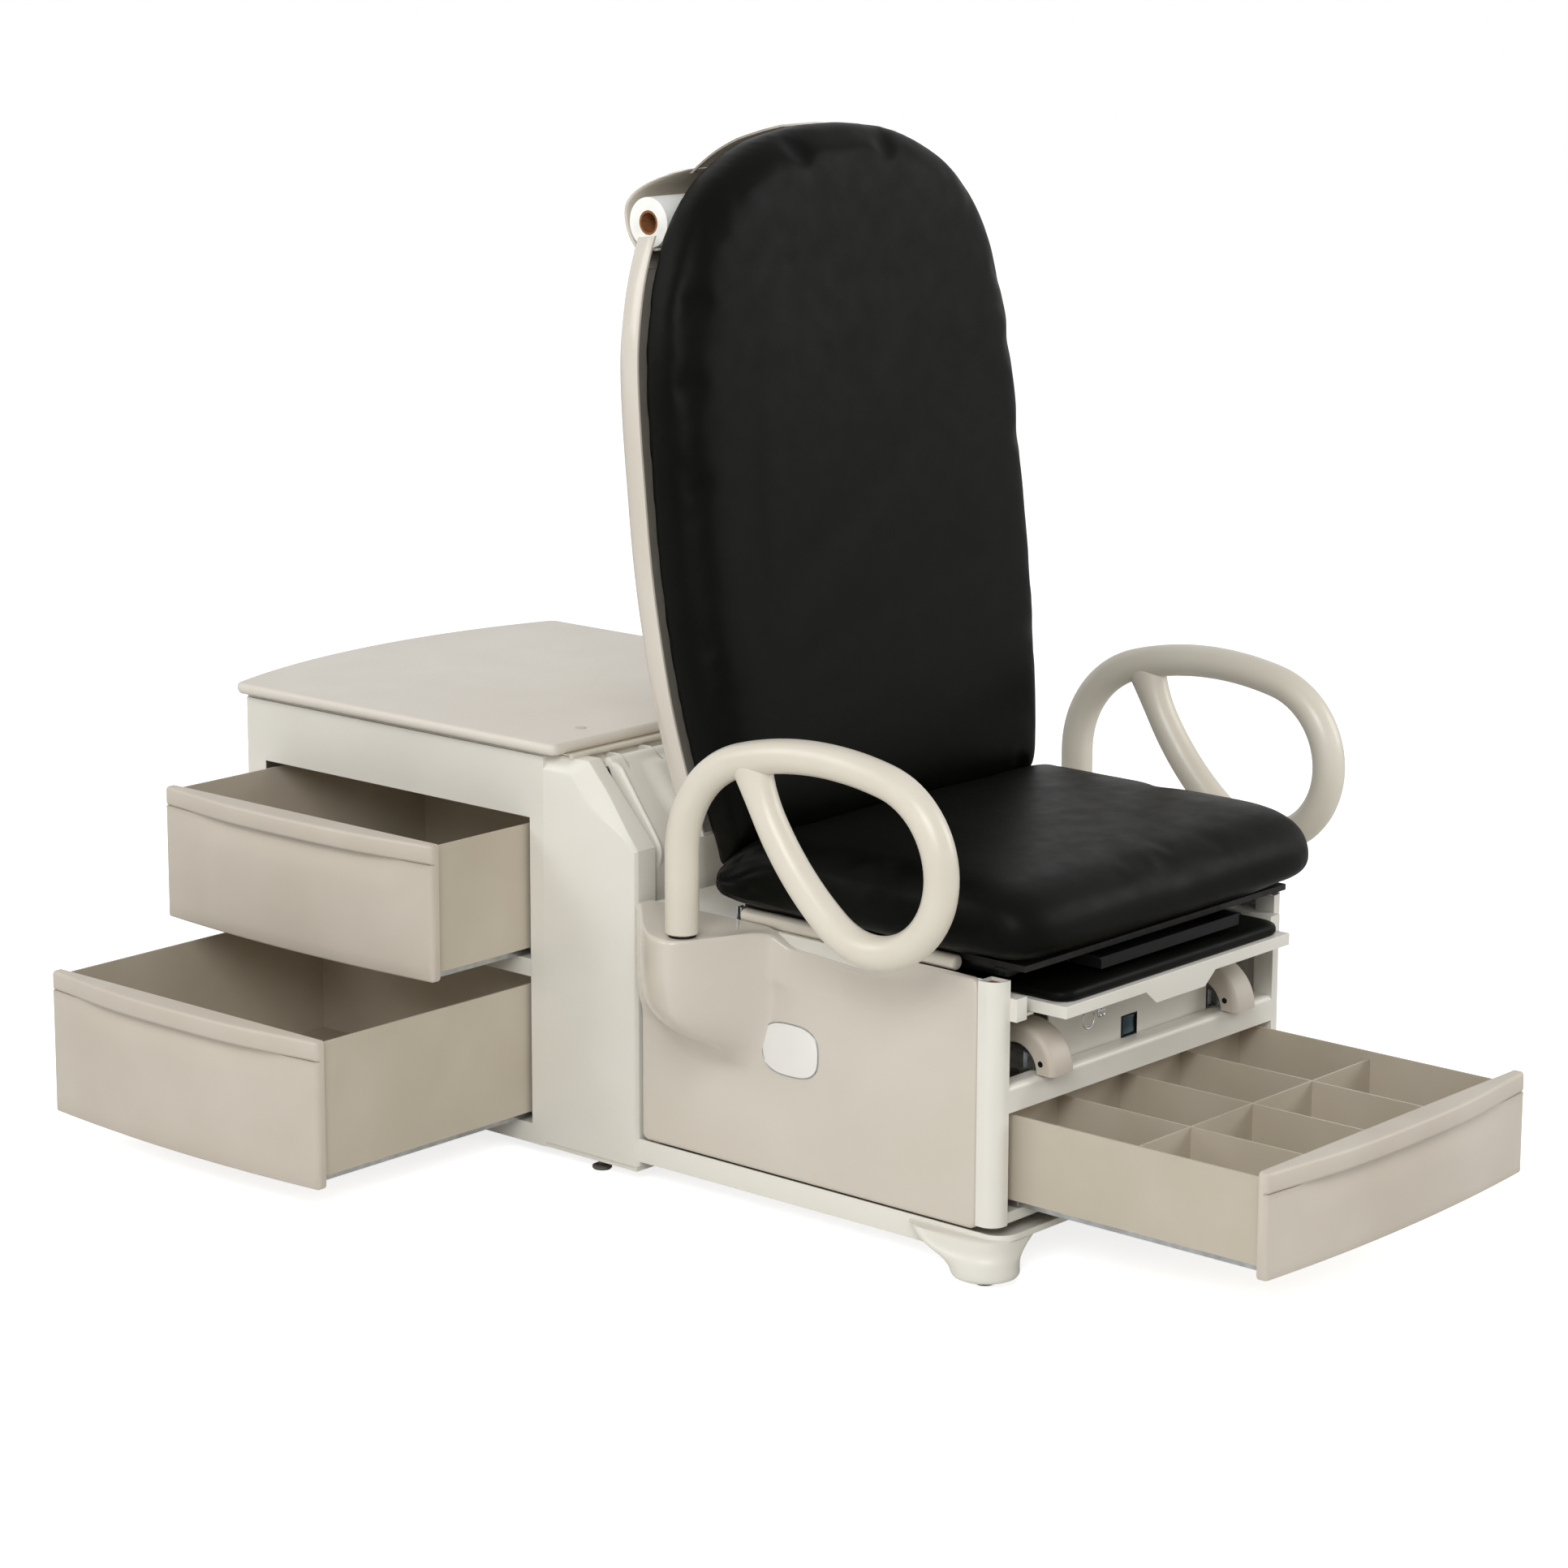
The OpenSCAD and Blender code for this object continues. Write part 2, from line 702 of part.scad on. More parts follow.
// Worktop lid with its bowed rear edge and rounded rims
module worktop_lid() {
    ease_share = 0.1;
    corner_share = 0.7;
    ease = ease_share * lid_t;
    corner = corner_share * lid_t;
    chord = 2 * lid_half;
    bow_r = chord * chord / (8 * lid_bow) + lid_bow / 2;
    color(taupe) for (step = [[0, 2 * ease, ease], [2 * ease, lid_t - 2 * ease, 0],
        [lid_t - 2 * ease, lid_t, ease]]) {
        in = step[2];
        translate([0, 0, lid_z + step[0]]) linear_extrude(step[1] - step[0]) intersection() {
            round_rect(chord - 2 * in, lid_front + in, lid_rear + 2 * lid_bow, corner);
            translate([0, lid_rear + lid_bow - bow_r]) circle(bow_r - in, $fn = 720);
        }
    }
}

// A drawer front in plan, facing -x with its flat back at x = 0 and its middle at y = 0
module bowed_plan(w, bow, t) {
    r = w * w / (8 * bow) + bow / 2;
    intersection() {
        translate([r - bow - t, 0]) circle(r, $fn = 720);
        translate([-t - bow - cut, -w / 2]) square([t + bow + cut, w]);
    }
}

// A drawer front of width w and height h, with a finger ledge along its top
module drawer_front(w, h) {
    lip = ledge_out / 2;
    linear_extrude(h) bowed_plan(w, front_bow, front_t);
    translate([0, 0, h - ledge_h]) linear_extrude(ledge_h - lip)
        bowed_plan(w - 2 * ledge_out, front_bow, front_t + ledge_out);
    translate([0, 0, h - lip]) linear_extrude(lip) bowed_plan(w - 2 * ledge_out, front_bow, front_t + lip);
}

// An open drawer box, l long from x = 0 and w wide about y = 0
module drawer_box(l, w, h) {
    difference() {
        block([0, l], [-w / 2, w / 2], [0, h]);
        block([box_wall, l - box_wall], [-w / 2 + box_wall, w / 2 - box_wall], [box_wall, h + cut]);
    }
}

// The pair of moving slide members under a drawer, w wide, from x = 0, with pegs up to the box
module drawer_slides(w) {
    for (side = [-1, 1]) translate([0, side * (w / 2 - runner_inset), runner_wall + near]) {
        block([box_wall, runner_l], [-bar_w / 2, bar_w / 2], [0, bar_h]);
        for (share = peg_shares) translate([share * runner_l, 0, bar_h]) cylinder(h = peg_h, r = peg_r);
    }
}

// The pair of fixed channels that carry the slide members, from x = 0
module drawer_runners(w) {
    for (side = [-1, 1]) translate([0, side * (w / 2 - runner_inset), 0]) difference() {
        block([0, runner_l], [-runner_w / 2, runner_w / 2], [0, runner_h]);
        block([-cut, runner_l + cut], [-runner_w / 2 + runner_wall, runner_w / 2 - runner_wall],
            [runner_wall, runner_h + cut]);
    }
}

// Places children drawn for a side drawer with its back face at x
module side_place(x, z) {
    translate([x, side_mid_y, z]) children();
}

// Places children drawn for the front drawer with its back face at y
module foot_place(y, z) {
    translate([0, y, z]) rotate([0, 0, 90]) children();
}

// Fixed runners of both side drawers
module side_drawer_runners() {
    color(zinc) for (z = [upper_z, lower_z]) side_place(face_x + rail_d, z) drawer_runners(side_box_w);
}

// Front of the upper drawer
module upper_drawer_front() {
    color(taupe) side_place(upper_x, upper_z + front_clear) drawer_front(side_front_w, upper_front_h);
}

// Box of the upper drawer
module upper_drawer_box() {
    color(taupe) side_place(upper_x, upper_z + box_rise)
        drawer_box(side_box_l, side_box_w, upper_front_h - box_rise + cut);
}

// Slides under the upper drawer
module upper_drawer_slides() {
    color(zinc) side_place(upper_x, upper_z) drawer_slides(side_box_w);
}

// Front of the lower drawer
module lower_drawer_front() {
    color(taupe) side_place(lower_x, lower_z + cut) drawer_front(side_front_w, lower_front_h);
}

// Box of the lower drawer
module lower_drawer_box() {
    color(taupe) side_place(lower_x, lower_z + box_rise)
        drawer_box(side_box_l, side_box_w, lower_front_h - box_rise - front_clear + cut);
}

// Slides under the lower drawer
module lower_drawer_slides() {
    color(zinc) side_place(lower_x, lower_z) drawer_slides(side_box_w);
}

// Mains inlet low on the rear of the cabinet
module power_inlet() {
    w = 28;
    h = 24;
    x = cab_half - 3 * w;
    z = cab_deck + 2 * h;
    color(black) difference() {
        block([x - w / 2, x + w / 2], [cab_rear, cab_rear + cover_t], [z - h / 2, z + h / 2]);
        block([x - w / 3, x + w / 3], [cab_rear + cut, cab_rear + 2 * cover_t], [z - h / 3, z + h / 3]);
    }
}

// A tube of the lift column, drawn in from the fixed tube by i on every side
module column_tube(i, z, h) {
    w = column_w / 2 - i;
    d = column_d / 2 - i;
    t = column_wall;
    translate([0, -column_y, 0]) difference() {
        block([-w, w], [-d, d], [z, z + h]);
        block([-w + t, w - t], [-d + t, d - t], [z - cut, z + h + cut]);
    }
}

// Fixed tube of the lift column, on its foot plate
module column_outer() {
    top = frame_top - column_top;
    foot = column_wall;
    color(enamel) {
        column_tube(0, pan_floor, top - pan_floor);
        difference() {
            block([-column_w / 2 - column_foot, column_w / 2 + column_foot],
                [-column_y - column_d / 2 - foot, -column_y + column_d / 2 + foot],
                [pan_floor, pan_floor + column_wall]);
            block([-column_w / 2 + 2 * column_wall, column_w / 2 - 2 * column_wall],
                [-column_y - column_d / 2 + 2 * column_wall, -column_y + column_d / 2 - 2 * column_wall],
                [pan_floor - cut, pan_floor + column_wall + cut]);
        }
    }
}

// Middle tube of the lift column, which rises half as far as the seat
module column_middle() {
    i = column_wall + column_gap;
    low = pan_floor + column_wall;
    color(zinc) {
        column_tube(i, low, frame_top - pan_floor - column_step);
        column_tube(i + column_wall, low, column_wall);
    }
}

// Inner tube of the lift column, with the plate under the deck
module column_inner() {
    i = 2 * (column_wall + column_gap);
    top = frame_top - sheet;
    color(zinc) {
        column_tube(i, pan_floor + 2 * column_wall, top - pan_floor - 2 * column_wall);
        block([-column_w / 2, column_w / 2], [-column_y - column_d / 2, -column_y + column_d / 2],
            [top - column_wall, top]);
    }
}

// Drive motor beside the lift column
module lift_motor() {
    r = 32;
    x = column_w / 2 + column_foot + r + sheet;
    color(black) translate([x, -column_y, pan_floor]) {
        cylinder(h = 3 * r, r = r);
        block([-x + column_w / 2, -r / 2], [-r / 2, r / 2], [r, 2 * r]);
    }
}

// Outline of a front post in plan, at +x, drawn in by i
module post_plan(i) {
    r = post_r - i;
    intersection() {
        translate([frame_in + i, front_y + i]) square([post_w - 2 * i, post_d - 2 * i]);
        union() {
            translate([frame_half - post_r, front_y + post_r]) circle(r);
            translate([frame_in, front_y + post_r]) square([post_w, post_d]);
            translate([frame_in, front_y]) square([post_w - post_r, post_d]);
        }
    }
}

// Two hollow front posts and the cross rail between them
module front_frame() {
    r = 8;
    color(enamel) {
        both_sides() translate([0, 0, frame_bottom]) linear_extrude(frame_top - frame_bottom)
            difference() {
                post_plan(0);
                post_plan(sheet);
            }
        difference() {
            along_x(-frame_in, frame_in) union() {
                translate([front_y + r, rail_z]) square([rail_d - r, rail_h]);
                translate([front_y, rail_z]) square([rail_d, rail_h - r]);
                translate([front_y + r, rail_z + rail_h - r]) circle(r);
            }
            block([-frame_in - cut, frame_in + cut], [front_y + sheet, front_y + rail_d + cut],
                [rail_z + sheet, rail_z + rail_h - r]);
        }
    }
}

// Inner side and rear sheets of the lift frame
module frame_wrap() {
    y = [front_y + post_d, -frame_rear];
    color(enamel) difference() {
        block([-wrap_half, wrap_half], y, [frame_bottom, frame_top]);
        block([-wrap_half + sheet, wrap_half - sheet], [y[0] - cut, y[1] - sheet],
            [frame_bottom - cut, frame_top + cut]);
    }
}

// Floor under the front drawer and shelf over it, each with its front flange
module drawer_bay() {
    x = wrap_half - sheet;
    rear = -bay_rear;
    color(enamel) {
        block([-x, x], [front_y + post_d, rear], [foot_z - sheet, foot_z]);
        block([-frame_in, frame_in], [front_y + flange_set, front_y + post_d], [foot_z - sheet, foot_z]);
        block([-frame_in, frame_in], [front_y + flange_set, front_y + flange_set + sheet],
            [frame_bottom, foot_z]);
        block([-x, x], [front_y + post_d, rear], [shelf_top - sheet, shelf_top]);
        block([-frame_in, frame_in], [front_y + rail_d - 2 * sheet, front_y + post_d],
            [shelf_top - sheet, shelf_top]);
        block([-frame_in, frame_in], [front_y + rail_d - 2 * sheet, front_y + rail_d], [shelf_top, rail_z]);
    }
}

// Deck that closes the rear half of the lift frame
module deck_panel() {
    x = wrap_half - sheet;
    color(enamel) block([-x, x], [-deck_front, -frame_rear - sheet], [frame_top - sheet, frame_top]);
}

// Flat plate of a shroud in (y, z), with the notch under the arm
module shroud_outline() {
    y0 = front_y + post_d;
    y1 = -shroud_rear;
    z0 = frame_bottom;
    z1 = frame_top + 1;
    r = 10;
    notch_shares = [[0.77, 1], [0.67, 0.93], [0.42, 0.95], [0.34, 1]];
    difference() {
        union() {
            translate([y0, z0 + r]) square([y1 - y0, z1 - z0 - r]);
            translate([y0 + r, z0]) square([y1 - y0 - 2 * r, z1 - z0]);
            for (y = [y0 + r, y1 - r]) translate([y, z0 + r]) circle(r);
        }
        notch = [for (s = notch_shares) [y1 + s[0] * (y0 - y1), z0 + s[1] * (z1 - z0)]];
        polygon(concat(notch, [[notch[3][0], z1 + cut], [notch[0][0], z1 + cut]]));
    }
}

// Swelling of a shroud round the arm post, drawn in by i, from x0 outward
module shroud_boss(i, x0) {
    top = arm_z - collar_t - i;
    depth = arm_x + boss_r - wrap_half - i;
    flare_share = 2.1;
    round_share = 0.75;
    flare = flare_share * boss_r;
    steps = 24;
    // height share, depth share, width share
    ring_shares = [[0, 0.02, 0.48], [0.12, 0.1, 0.52], [0.26, 0.32, 0.58], [0.42, 0.64, 0.7],
        [0.56, 0.88, 0.84], [0.7, 0.97, 0.95], [0.82, 1, 1], [1, 1, 1]];
    loft([for (s = ring_shares) let (z = boss_low + i + s[0] * (top - boss_low - i), w = flare * s[2] - i)
        concat([[x0, -arm_y + w, z], [x0, -arm_y - w, z]],
            [for (k = [1 : steps - 1]) let (u = 2 * k / steps - 1)
                [wrap_half + depth * s[1] * pow((1 + cos(180 * u)) / 2, round_share), -arm_y + w * u, z]])]);
}

// A side shroud, drawn on the +x side
module shroud() {
    t = 4;
    color(taupe) difference() {
        union() {
            along_x(wrap_half, wrap_half + shroud_t) shroud_outline();
            shroud_boss(0, wrap_half + cut);
        }
        shroud_boss(t, wrap_half - cut);
        translate([arm_x, -arm_y, arm_z - 3 * t]) cylinder(h = 4 * t, r = pivot_r + t / 2);
    }
}

// Shroud at -x
module shroud_left() {
    mirror([1, 0, 0]) shroud();
}

// Shroud at +x
module shroud_right() {
    shroud();
}

// Blank oval badges on the shrouds
module side_badges() {
    w = badge_w / 2;
    h = badge_h / 2;
    y = front_y + badge_set;
    z = frame_top - badge_drop;
    color(cream) both_sides() translate([wrap_half + shroud_t, y, z]) rotate([90, 0, 90])
        linear_extrude(badge_t)
        intersection() {
            circle(w);
            translate([-w - cut, -h]) square([2 * w + 2 * cut, 2 * h]);
        }
}

// Steel pivots of the arms, with their collars, carried by the lift frame
module arm_pivots() {
    plate = 6;
    z = arm_z - 2 * boss_r;
    pin_share = 0.85;
    color(black) both_sides() {
        translate([arm_x, -arm_y, z]) cylinder(h = arm_z + pin_share * arm_post_l - z, r = pivot_r);
        translate([arm_x, -arm_y, arm_z - collar_t]) cylinder(h = collar_t, r = pivot_r + collar_t);
        block([wrap_half, arm_x], [-arm_y - pivot_r, -arm_y + pivot_r], [z, z + plate]);
        block([wrap_half, wrap_half + plate], [-arm_y - pivot_r, -arm_y + pivot_r], [z, z + 6 * plate]);
    }
}

// Front panel that holds the rocker switch
module switch_panel() {
    x = rocker_w / 2;
    z = [rocker_z - rocker_h / 2, rocker_z + rocker_h / 2];
    color(enamel) difference() {
        block([-panel_half, panel_half], [panel_y, panel_y + sheet], [shelf_top, panel_top]);
        block([-x, x], [panel_y - cut, panel_y + sheet + cut], z);
    }
    color(black) difference() {
        block([-x, x], [panel_y - bezel / 2, panel_y + 5 * sheet], z);
        block([-x + bezel, x - bezel], [panel_y - bezel, panel_y + 4 * sheet], [z[0] + bezel, z[1] - bezel]);
        rod_x(rocker_pin_r + slip, -x - cut, x + cut, panel_y + 2 * sheet, rocker_z);
    }
}

// Rocker that raises and lowers the seat
module rocker_button() {
    x = rocker_w / 2 - bezel - near;
    h = rocker_h / 2 - bezel - 2 * near;
    d = 2 * sheet;
    dish_share = 0.7;
    heel_share = 0.6;
    color(black) {
        along_x(-x, x) translate([panel_y + d, rocker_z]) polygon([[d / 2, -h * heel_share],
            [d / 2, h * heel_share], [0, h], [-d, h], [-d * dish_share, 0], [-d, -h], [0, -h]]);
        rod_x(rocker_pin_r, -x - cut, x + cut, panel_y + d, rocker_z);
    }
}

// Tubes that guide the stirrup arms, on saddles
module stirrup_guides() {
    ox = stirrup_w / 2 + near + guide_wall;
    ix = stirrup_w / 2 + near;
    rear = -frame_rear - stirrup_w;
    low = bar_z - near;
    high = bar_z + stirrup_h + near;
    color(zinc) both_sides() {
        difference() {
            block([stirrup_x - ox, stirrup_x + ox], [guide_front, rear],
                [low - guide_wall, high + guide_wall]);
            block([stirrup_x - ix, stirrup_x + ix], [guide_front - cut, rear + cut], [low, high]);
        }
        for (y = [guide_front + 3 * ox, -bay_rear - 3 * ox])
            block([stirrup_x - ox, stirrup_x + ox], [y - ox, y + ox], [shelf_top, low - guide_wall]);
    }
}

// A stirrup arm with the tongue and pin of its heel cup, on the +x side
module stirrup_arm() {
    x = stirrup_w / 2;
    t = tongue_t / 2;
    color(zinc) translate([stirrup_x, 0, 0]) {
        block([-x, x], [bar_front, bar_front + stirrup_l], [bar_z, bar_z + stirrup_h]);
        rod_x(tongue_r, -t, t, pivot_y, pivot_z);
        block([-t, t], [pivot_y, bar_front + cut], [pivot_z - tongue_r, bar_z + stirrup_h]);
        rod_x(pivot_pin_r, -cup_w / 2 + bezel, cup_w / 2 - bezel, pivot_y, pivot_z);
    }
}

// Stirrup arm at -x
module stirrup_arm_left() {
    mirror([1, 0, 0]) stirrup_arm();
}

// Stirrup arm at +x
module stirrup_arm_right() {
    stirrup_arm();
}

// A heel cup, slotted for the tongue of its arm, on the +x side
module heel_cup() {
    w = cup_w / 2;
    gap = tongue_r + 1;
    t = tongue_t / 2 + near;
    color(taupe) translate([stirrup_x, 0, 0]) difference() {
        intersection() {
            rod_x(cup_r, -w, w, cup_y, cup_z);
            block([-w - cut, w + cut], [cup_y - cup_r - cut, cup_y + cup_rear_share * cup_r],
                [cup_z, cup_z + cup_r + cut]);
        }
        rod_x(cup_r - cup_t, -w - cut, w + cut, cup_y, cup_z);
        block([-t, t], [pivot_y - gap, cup_y], [cup_z - cut, pivot_z + gap]);
        rod_x(pivot_pin_r + slip, -w - cut, w + cut, pivot_y, pivot_z);
    }
}

// Heel cup at -x
module heel_cup_left() {
    mirror([1, 0, 0]) heel_cup();
}

// Heel cup at +x
module heel_cup_right() {
    heel_cup();
}

// Runners that carry the foot tray
module tray_runners() {
    z0 = tray_z - tray_lip - 2 * sheet;
    z1 = tray_z + bracket_ahead;
    y = [front_y - bracket_ahead, -bay_rear];
    under = 3 * sheet;
    color(enamel) both_sides() {
        block([runner_inner, frame_in], y, [z0, z1]);
        block([frame_in, wrap_half - sheet], [front_y + post_d, y[1]], [z0, z1]);
        block([tray_half - under, runner_inner], [front_y, y[1]], [z0, tray_z - tray_lip - near]);
    }
}

// Foot tray: a folded sheet with a lip and a tab
module foot_tray() {
    y0 = front_y - tray_ahead;
    z0 = tray_z - tray_lip;
    color(enamel) difference() {
        union() {
            block([-tray_half, tray_half], [y0, y0 + tray_l], [z0, tray_z]);
            translate([0, y0, 0]) rotate([90, 0, 0]) translate([0, 0, -sheet]) linear_extrude(sheet)
                polygon([[-tab_half, z0 + cut], [tab_half, z0 + cut], [tab_half, z0],
                    [tab_share * tab_half, z0 - tab_drop], [-tab_share * tab_half, z0 - tab_drop],
                    [-tab_half, z0]]);
        }
        block([-tray_half + sheet, tray_half - sheet], [y0 + sheet, y0 + tray_l - sheet],
            [z0 - cut, tray_z - sheet]);
    }
}

// A flat cushion: layers of a rounded outline from z0 up to z0 + h
module pad_form(x, y0, y1, z0, h) {
    corner_share = 0.7;
    // from and to as shares of the height, drawn in as a share of it
    step_shares = [[0, 0.2, 0.11], [0.2, 0.75, 0], [0.75, 1, 0.17]];
    for (s = step_shares) translate([0, 0, z0 + s[0] * h]) linear_extrude((s[1] - s[0]) * h)
        round_rect(2 * (x - s[2] * h), y0 + s[2] * h, y1 - s[2] * h, corner_share * h);
}

// Upholstered pad on the foot tray
module foot_pad() {
    y0 = front_y - tray_ahead + pad_inset;
    color(vinyl) pad_form(tray_half - pad_inset, y0, y0 + tray_l - 2 * pad_inset, tray_z, pad_t);
}

// Shallow treatment pan under the seat, hung by its rims
module treatment_pan() {
    t = sheet;
    z1 = basin_z + basin_h;
    color(black) difference() {
        union() {
            block([-basin_half, basin_half], [basin_front, basin_front + basin_l], [basin_z, z1]);
            block([-basin_half - basin_rim, basin_half + basin_rim], [basin_front, basin_front + basin_l],
                [z1 - t, z1]);
        }
        block([-basin_half + t, basin_half - t], [basin_front + t, basin_front + basin_l - t],
            [basin_z + t, z1 + cut]);
    }
}

// Channels on either side of the front drawer
module front_drawer_runners() {
    color(zinc) foot_place(front_y + front_overlap, foot_z) intersection() {
        drawer_runners(2 * foot_box_half);
        block([-cut, foot_box_l], [-frame_half, frame_half], [-cut, 2 * runner_h]);
    }
}

// Front of the front drawer
module front_drawer_front() {
    color(taupe) foot_place(foot_y, foot_z + front_clear - cut) drawer_front(foot_front_w, foot_front_h);
}

// Box of the front drawer
module front_drawer_box() {
    color(taupe) foot_place(foot_y, foot_z + box_rise) drawer_box(foot_box_l, 2 * foot_box_half, foot_box_h);
}

// Loose dividers of the front drawer
module front_drawer_dividers() {
    l = foot_box_l - 2 * box_wall;
    w = 2 * (foot_box_half - box_wall);
    t = box_wall / 2;
    color(taupe) foot_place(foot_y, foot_z + box_rise + box_wall) {
        block([box_wall + l / 2 - t, box_wall + l / 2 + t], [-w / 2, w / 2], [0, divider_h]);
        for (k = [1 : long_dividers]) {
            y = -w / 2 + k * w / (long_dividers + 1);
            block([box_wall, box_wall + l], [y - t, y + t], [0, divider_h]);
        }
    }
}

// Slides under the front drawer
module front_drawer_slides() {
    color(zinc) foot_place(foot_y, foot_z) intersection() {
        drawer_slides(2 * foot_box_half);
        block([0, foot_box_l], [-frame_half, frame_half], [0, 3 * runner_h]);
    }
}

// Seat frame: rails, front stubs, pan rails, side tubes and the hinge ears
module seat_frame() {
    z = [frame_top, board_top - board_t];
    y = [front_y + 2 * basin_rim, -bay_rear - tube_r];
    hang = basin_z + basin_h - sheet - near;
    side = basin_half + 2 * basin_rim;
    color(zinc) both_sides() {
        block([seat_rail_x - rail_w, seat_rail_x], y, z);
        block([side - basin_rim + near, wrap_half], [y[0], y[0] + rail_w], z);
        block([side - basin_rim + near, side], [y[0], y[0] + basin_l], [hang - basin_rim, z[1]]);
        block([basin_half + near, side], [y[0], y[0] + basin_l], [hang - basin_rim, hang]);
    }
    color(zinc) both_sides() difference() {
        union() {
            block([ear_x, ear_x + ear_t], [-hinge_y - knuckle_r, -hinge_y + knuckle_r], [frame_top, hinge_z]);
            rod_x(knuckle_r, ear_x, ear_x + ear_t, -hinge_y, hinge_z);
        }
        rod_x(hinge_pin_r, ear_x - cut, ear_x + ear_t + cut, -hinge_y, hinge_z);
    }
    color(zinc) rod_x(hinge_pin_r, -ear_x - ear_t, ear_x + ear_t, -hinge_y, hinge_z);
    tube_rear = -hinge_y - ear_room;
    tube_in = tube_x - tube_r;
    color(cream) both_sides() {
        translate([tube_x, tube_rear - tube_l, frame_top + tube_r]) rotate([-90, 0, 0])
            cylinder(h = tube_l, r = tube_r);
        block([tube_in, tube_in + sheet], [tube_rear - rail_w, tube_rear],
            [frame_top, frame_top + 2 * tube_r]);
        block([seat_rail_x - cut, tube_x], [tube_rear - rail_w, tube_rear - rail_w + sheet],
            [frame_top, frame_top + tube_r]);
    }
}

// Board under the seat cushion
module seat_board() {
    color(black) block([-board_half, board_half], [front_y - board_ahead, -hinge_y - seat_gap - board_rear],
        [board_top - board_t, board_top]);
}

// Outline of the seat at angle a: a rounded rectangle with separate front and rear reach
function seat_point(a, half, front, rear, mid, z) =
    let (n = 5, c = cos(a), s = sin(a), k = pow(pow(abs(c), n) + pow(abs(s), n), -1 / n))
    [half * k * c, mid + (s < 0 ? front : rear) * k * s, z];

// Seat cushion with its waterfall front, drawn-in sides and crown
module seat_cushion() {
    mid = front_y + seat_reach;
    front = front_y - seat_ahead;
    rear = -hinge_y - seat_gap;
    steps = 64;
    // height share, width share, front drawn in, rear drawn in
    layer_shares = [[0, 0.93, 0.13, 0.03], [0.12, 0.98, 0.06, 0.01], [0.3, 1, 0.01, 0], [0.45, 1, 0, 0],
        [0.62, 0.995, 0.02, 0.005], [0.78, 0.985, 0.06, 0.035], [0.9, 0.965, 0.12, 0.085],
        [1, 0.92, 0.22, 0.13]];
    top_shares = [[0.35, 0.83, 0.36, 0.2], [0.7, 0.6, 0.58, 0.4], [0.93, 0.32, 0.8, 0.68]];
    reach = mid - front;
    back = rear - mid;
    rings = concat([for (l = layer_shares) [l[1], l[2], l[3], seat_z + l[0] * seat_t]],
        [for (l = top_shares) [l[1], l[2], l[3], seat_z + seat_t + l[0] * seat_crown]]);
    color(vinyl) loft([for (r = rings) [for (i = [0 : steps - 1])
        seat_point(360 * i / steps, seat_half * r[0], reach * (1 - r[1]), back * (1 - r[2]), mid, r[3])]]);
}

// Places children drawn in the frame of the back: x across, y to its rear, z along it from the hinge
module back_place() {
    translate([0, -hinge_y, hinge_z]) rotate([-back_lean, 0, 0]) children();
}

// Half widths of the back as shares of the widest, by share of the length above the hinge
back_width_shares = [[0.02, 0.865], [0.06, 0.885], [0.114, 0.92], [0.23, 0.97], [0.35, 0.994], [0.43, 1],
    [0.52, 0.996], [0.62, 0.99], [0.70, 0.975], [0.756, 0.945], [0.815, 0.895], [0.873, 0.815], [0.925, 0.69],
    [0.962, 0.53], [0.985, 0.36], [0.996, 0.19], [1, 0.05]];

// Shares of the length of the back between which it is drawn in straight across
back_spine_shares = [0.26, 0.66];
// Outline of the back in (x, z), counterclockwise, each point drawn in by i toward its middle line
function back_outline(i, low) =
    let (right = [for (w = back_width_shares) [back_half * w[1], max(low, back_l * w[0])]],
        left = [for (k = [len(right) - 1 : -1 : 0]) [-right[k][0], right[k][1]]],
        base = [for (share = [-0.6, -0.2, 0.2, 0.6]) [share * right[0][0], low]])
    [for (p = concat(right, left, base))
        let (heart = [0, back_l * min(max(p[1] / back_l, back_spine_shares[0]), back_spine_shares[1])])
        p + i * (heart - p) / norm(heart - p)];

// How far the lumbar curve turns over the length of the back, in degrees
lumbar_turn = 215;
// Rear set of the lumbar curve at height z above the hinge
function lumbar_at(z) = lumbar * sin(lumbar_turn * z / back_l);

// One ring of the back: the outline drawn in by i, at n behind the hinge
function back_ring(i, low, n) = [for (p = back_outline(i, low)) [p[0], n + lumbar_at(p[1]), p[1]]];

// Back cushion with its drawn-in sides and crown
module back_cushion() {
    // from the rear face, drawn in and lower end, all as shares of the thickness
    layer_shares = [[0, 0.08, 0.474], [0.06, 0.026, 0.447], [0.3, 0.007, 0.434], [0.55, 0, 0.474],
        [0.78, 0.053, 0.553], [0.92, 0.184, 0.658], [0.98, 0.42, 0.842], [1, 1.184, 1.579]];
    color(vinyl) back_place()
        loft([for (s = layer_shares) back_ring(s[1] * back_t, s[2] * back_t, back_rear - s[0] * back_t)]);
}

// Section of the roll hood in (y, z) about the middle of the roll, drawn in by i
module hood_section(i) {
    low = -hood_low_share * roll_r;
    // places as shares of the radius of the roll, and how much of i each is drawn in
    section_shares = [[0.58, -1.15, 1, -1], [0.88, -0.82, 1, -0.7], [1.12, -0.39, 1, -0.4],
        [1.24, 0.06, 1, 0], [1.24, 0.48, 1, 0.2], [1.06, 0.91, 0.8, 0.7], [0.7, 1.3, 0.6, 0.8],
        [0.21, 1.61, 0.4, 0.9], [-0.33, 1.88, 0, 1]];
    translate([roll_n, roll_s]) polygon(concat([[-roll_n + shell_n + i, low], [hood_foot_share * roll_r, low]],
        [for (s = section_shares) [s[0] * roll_r - s[2] * i, s[1] * roll_r - s[3] * i]],
        [[-roll_n + shell_n + i, hood_top_share * roll_r - i]]));
}

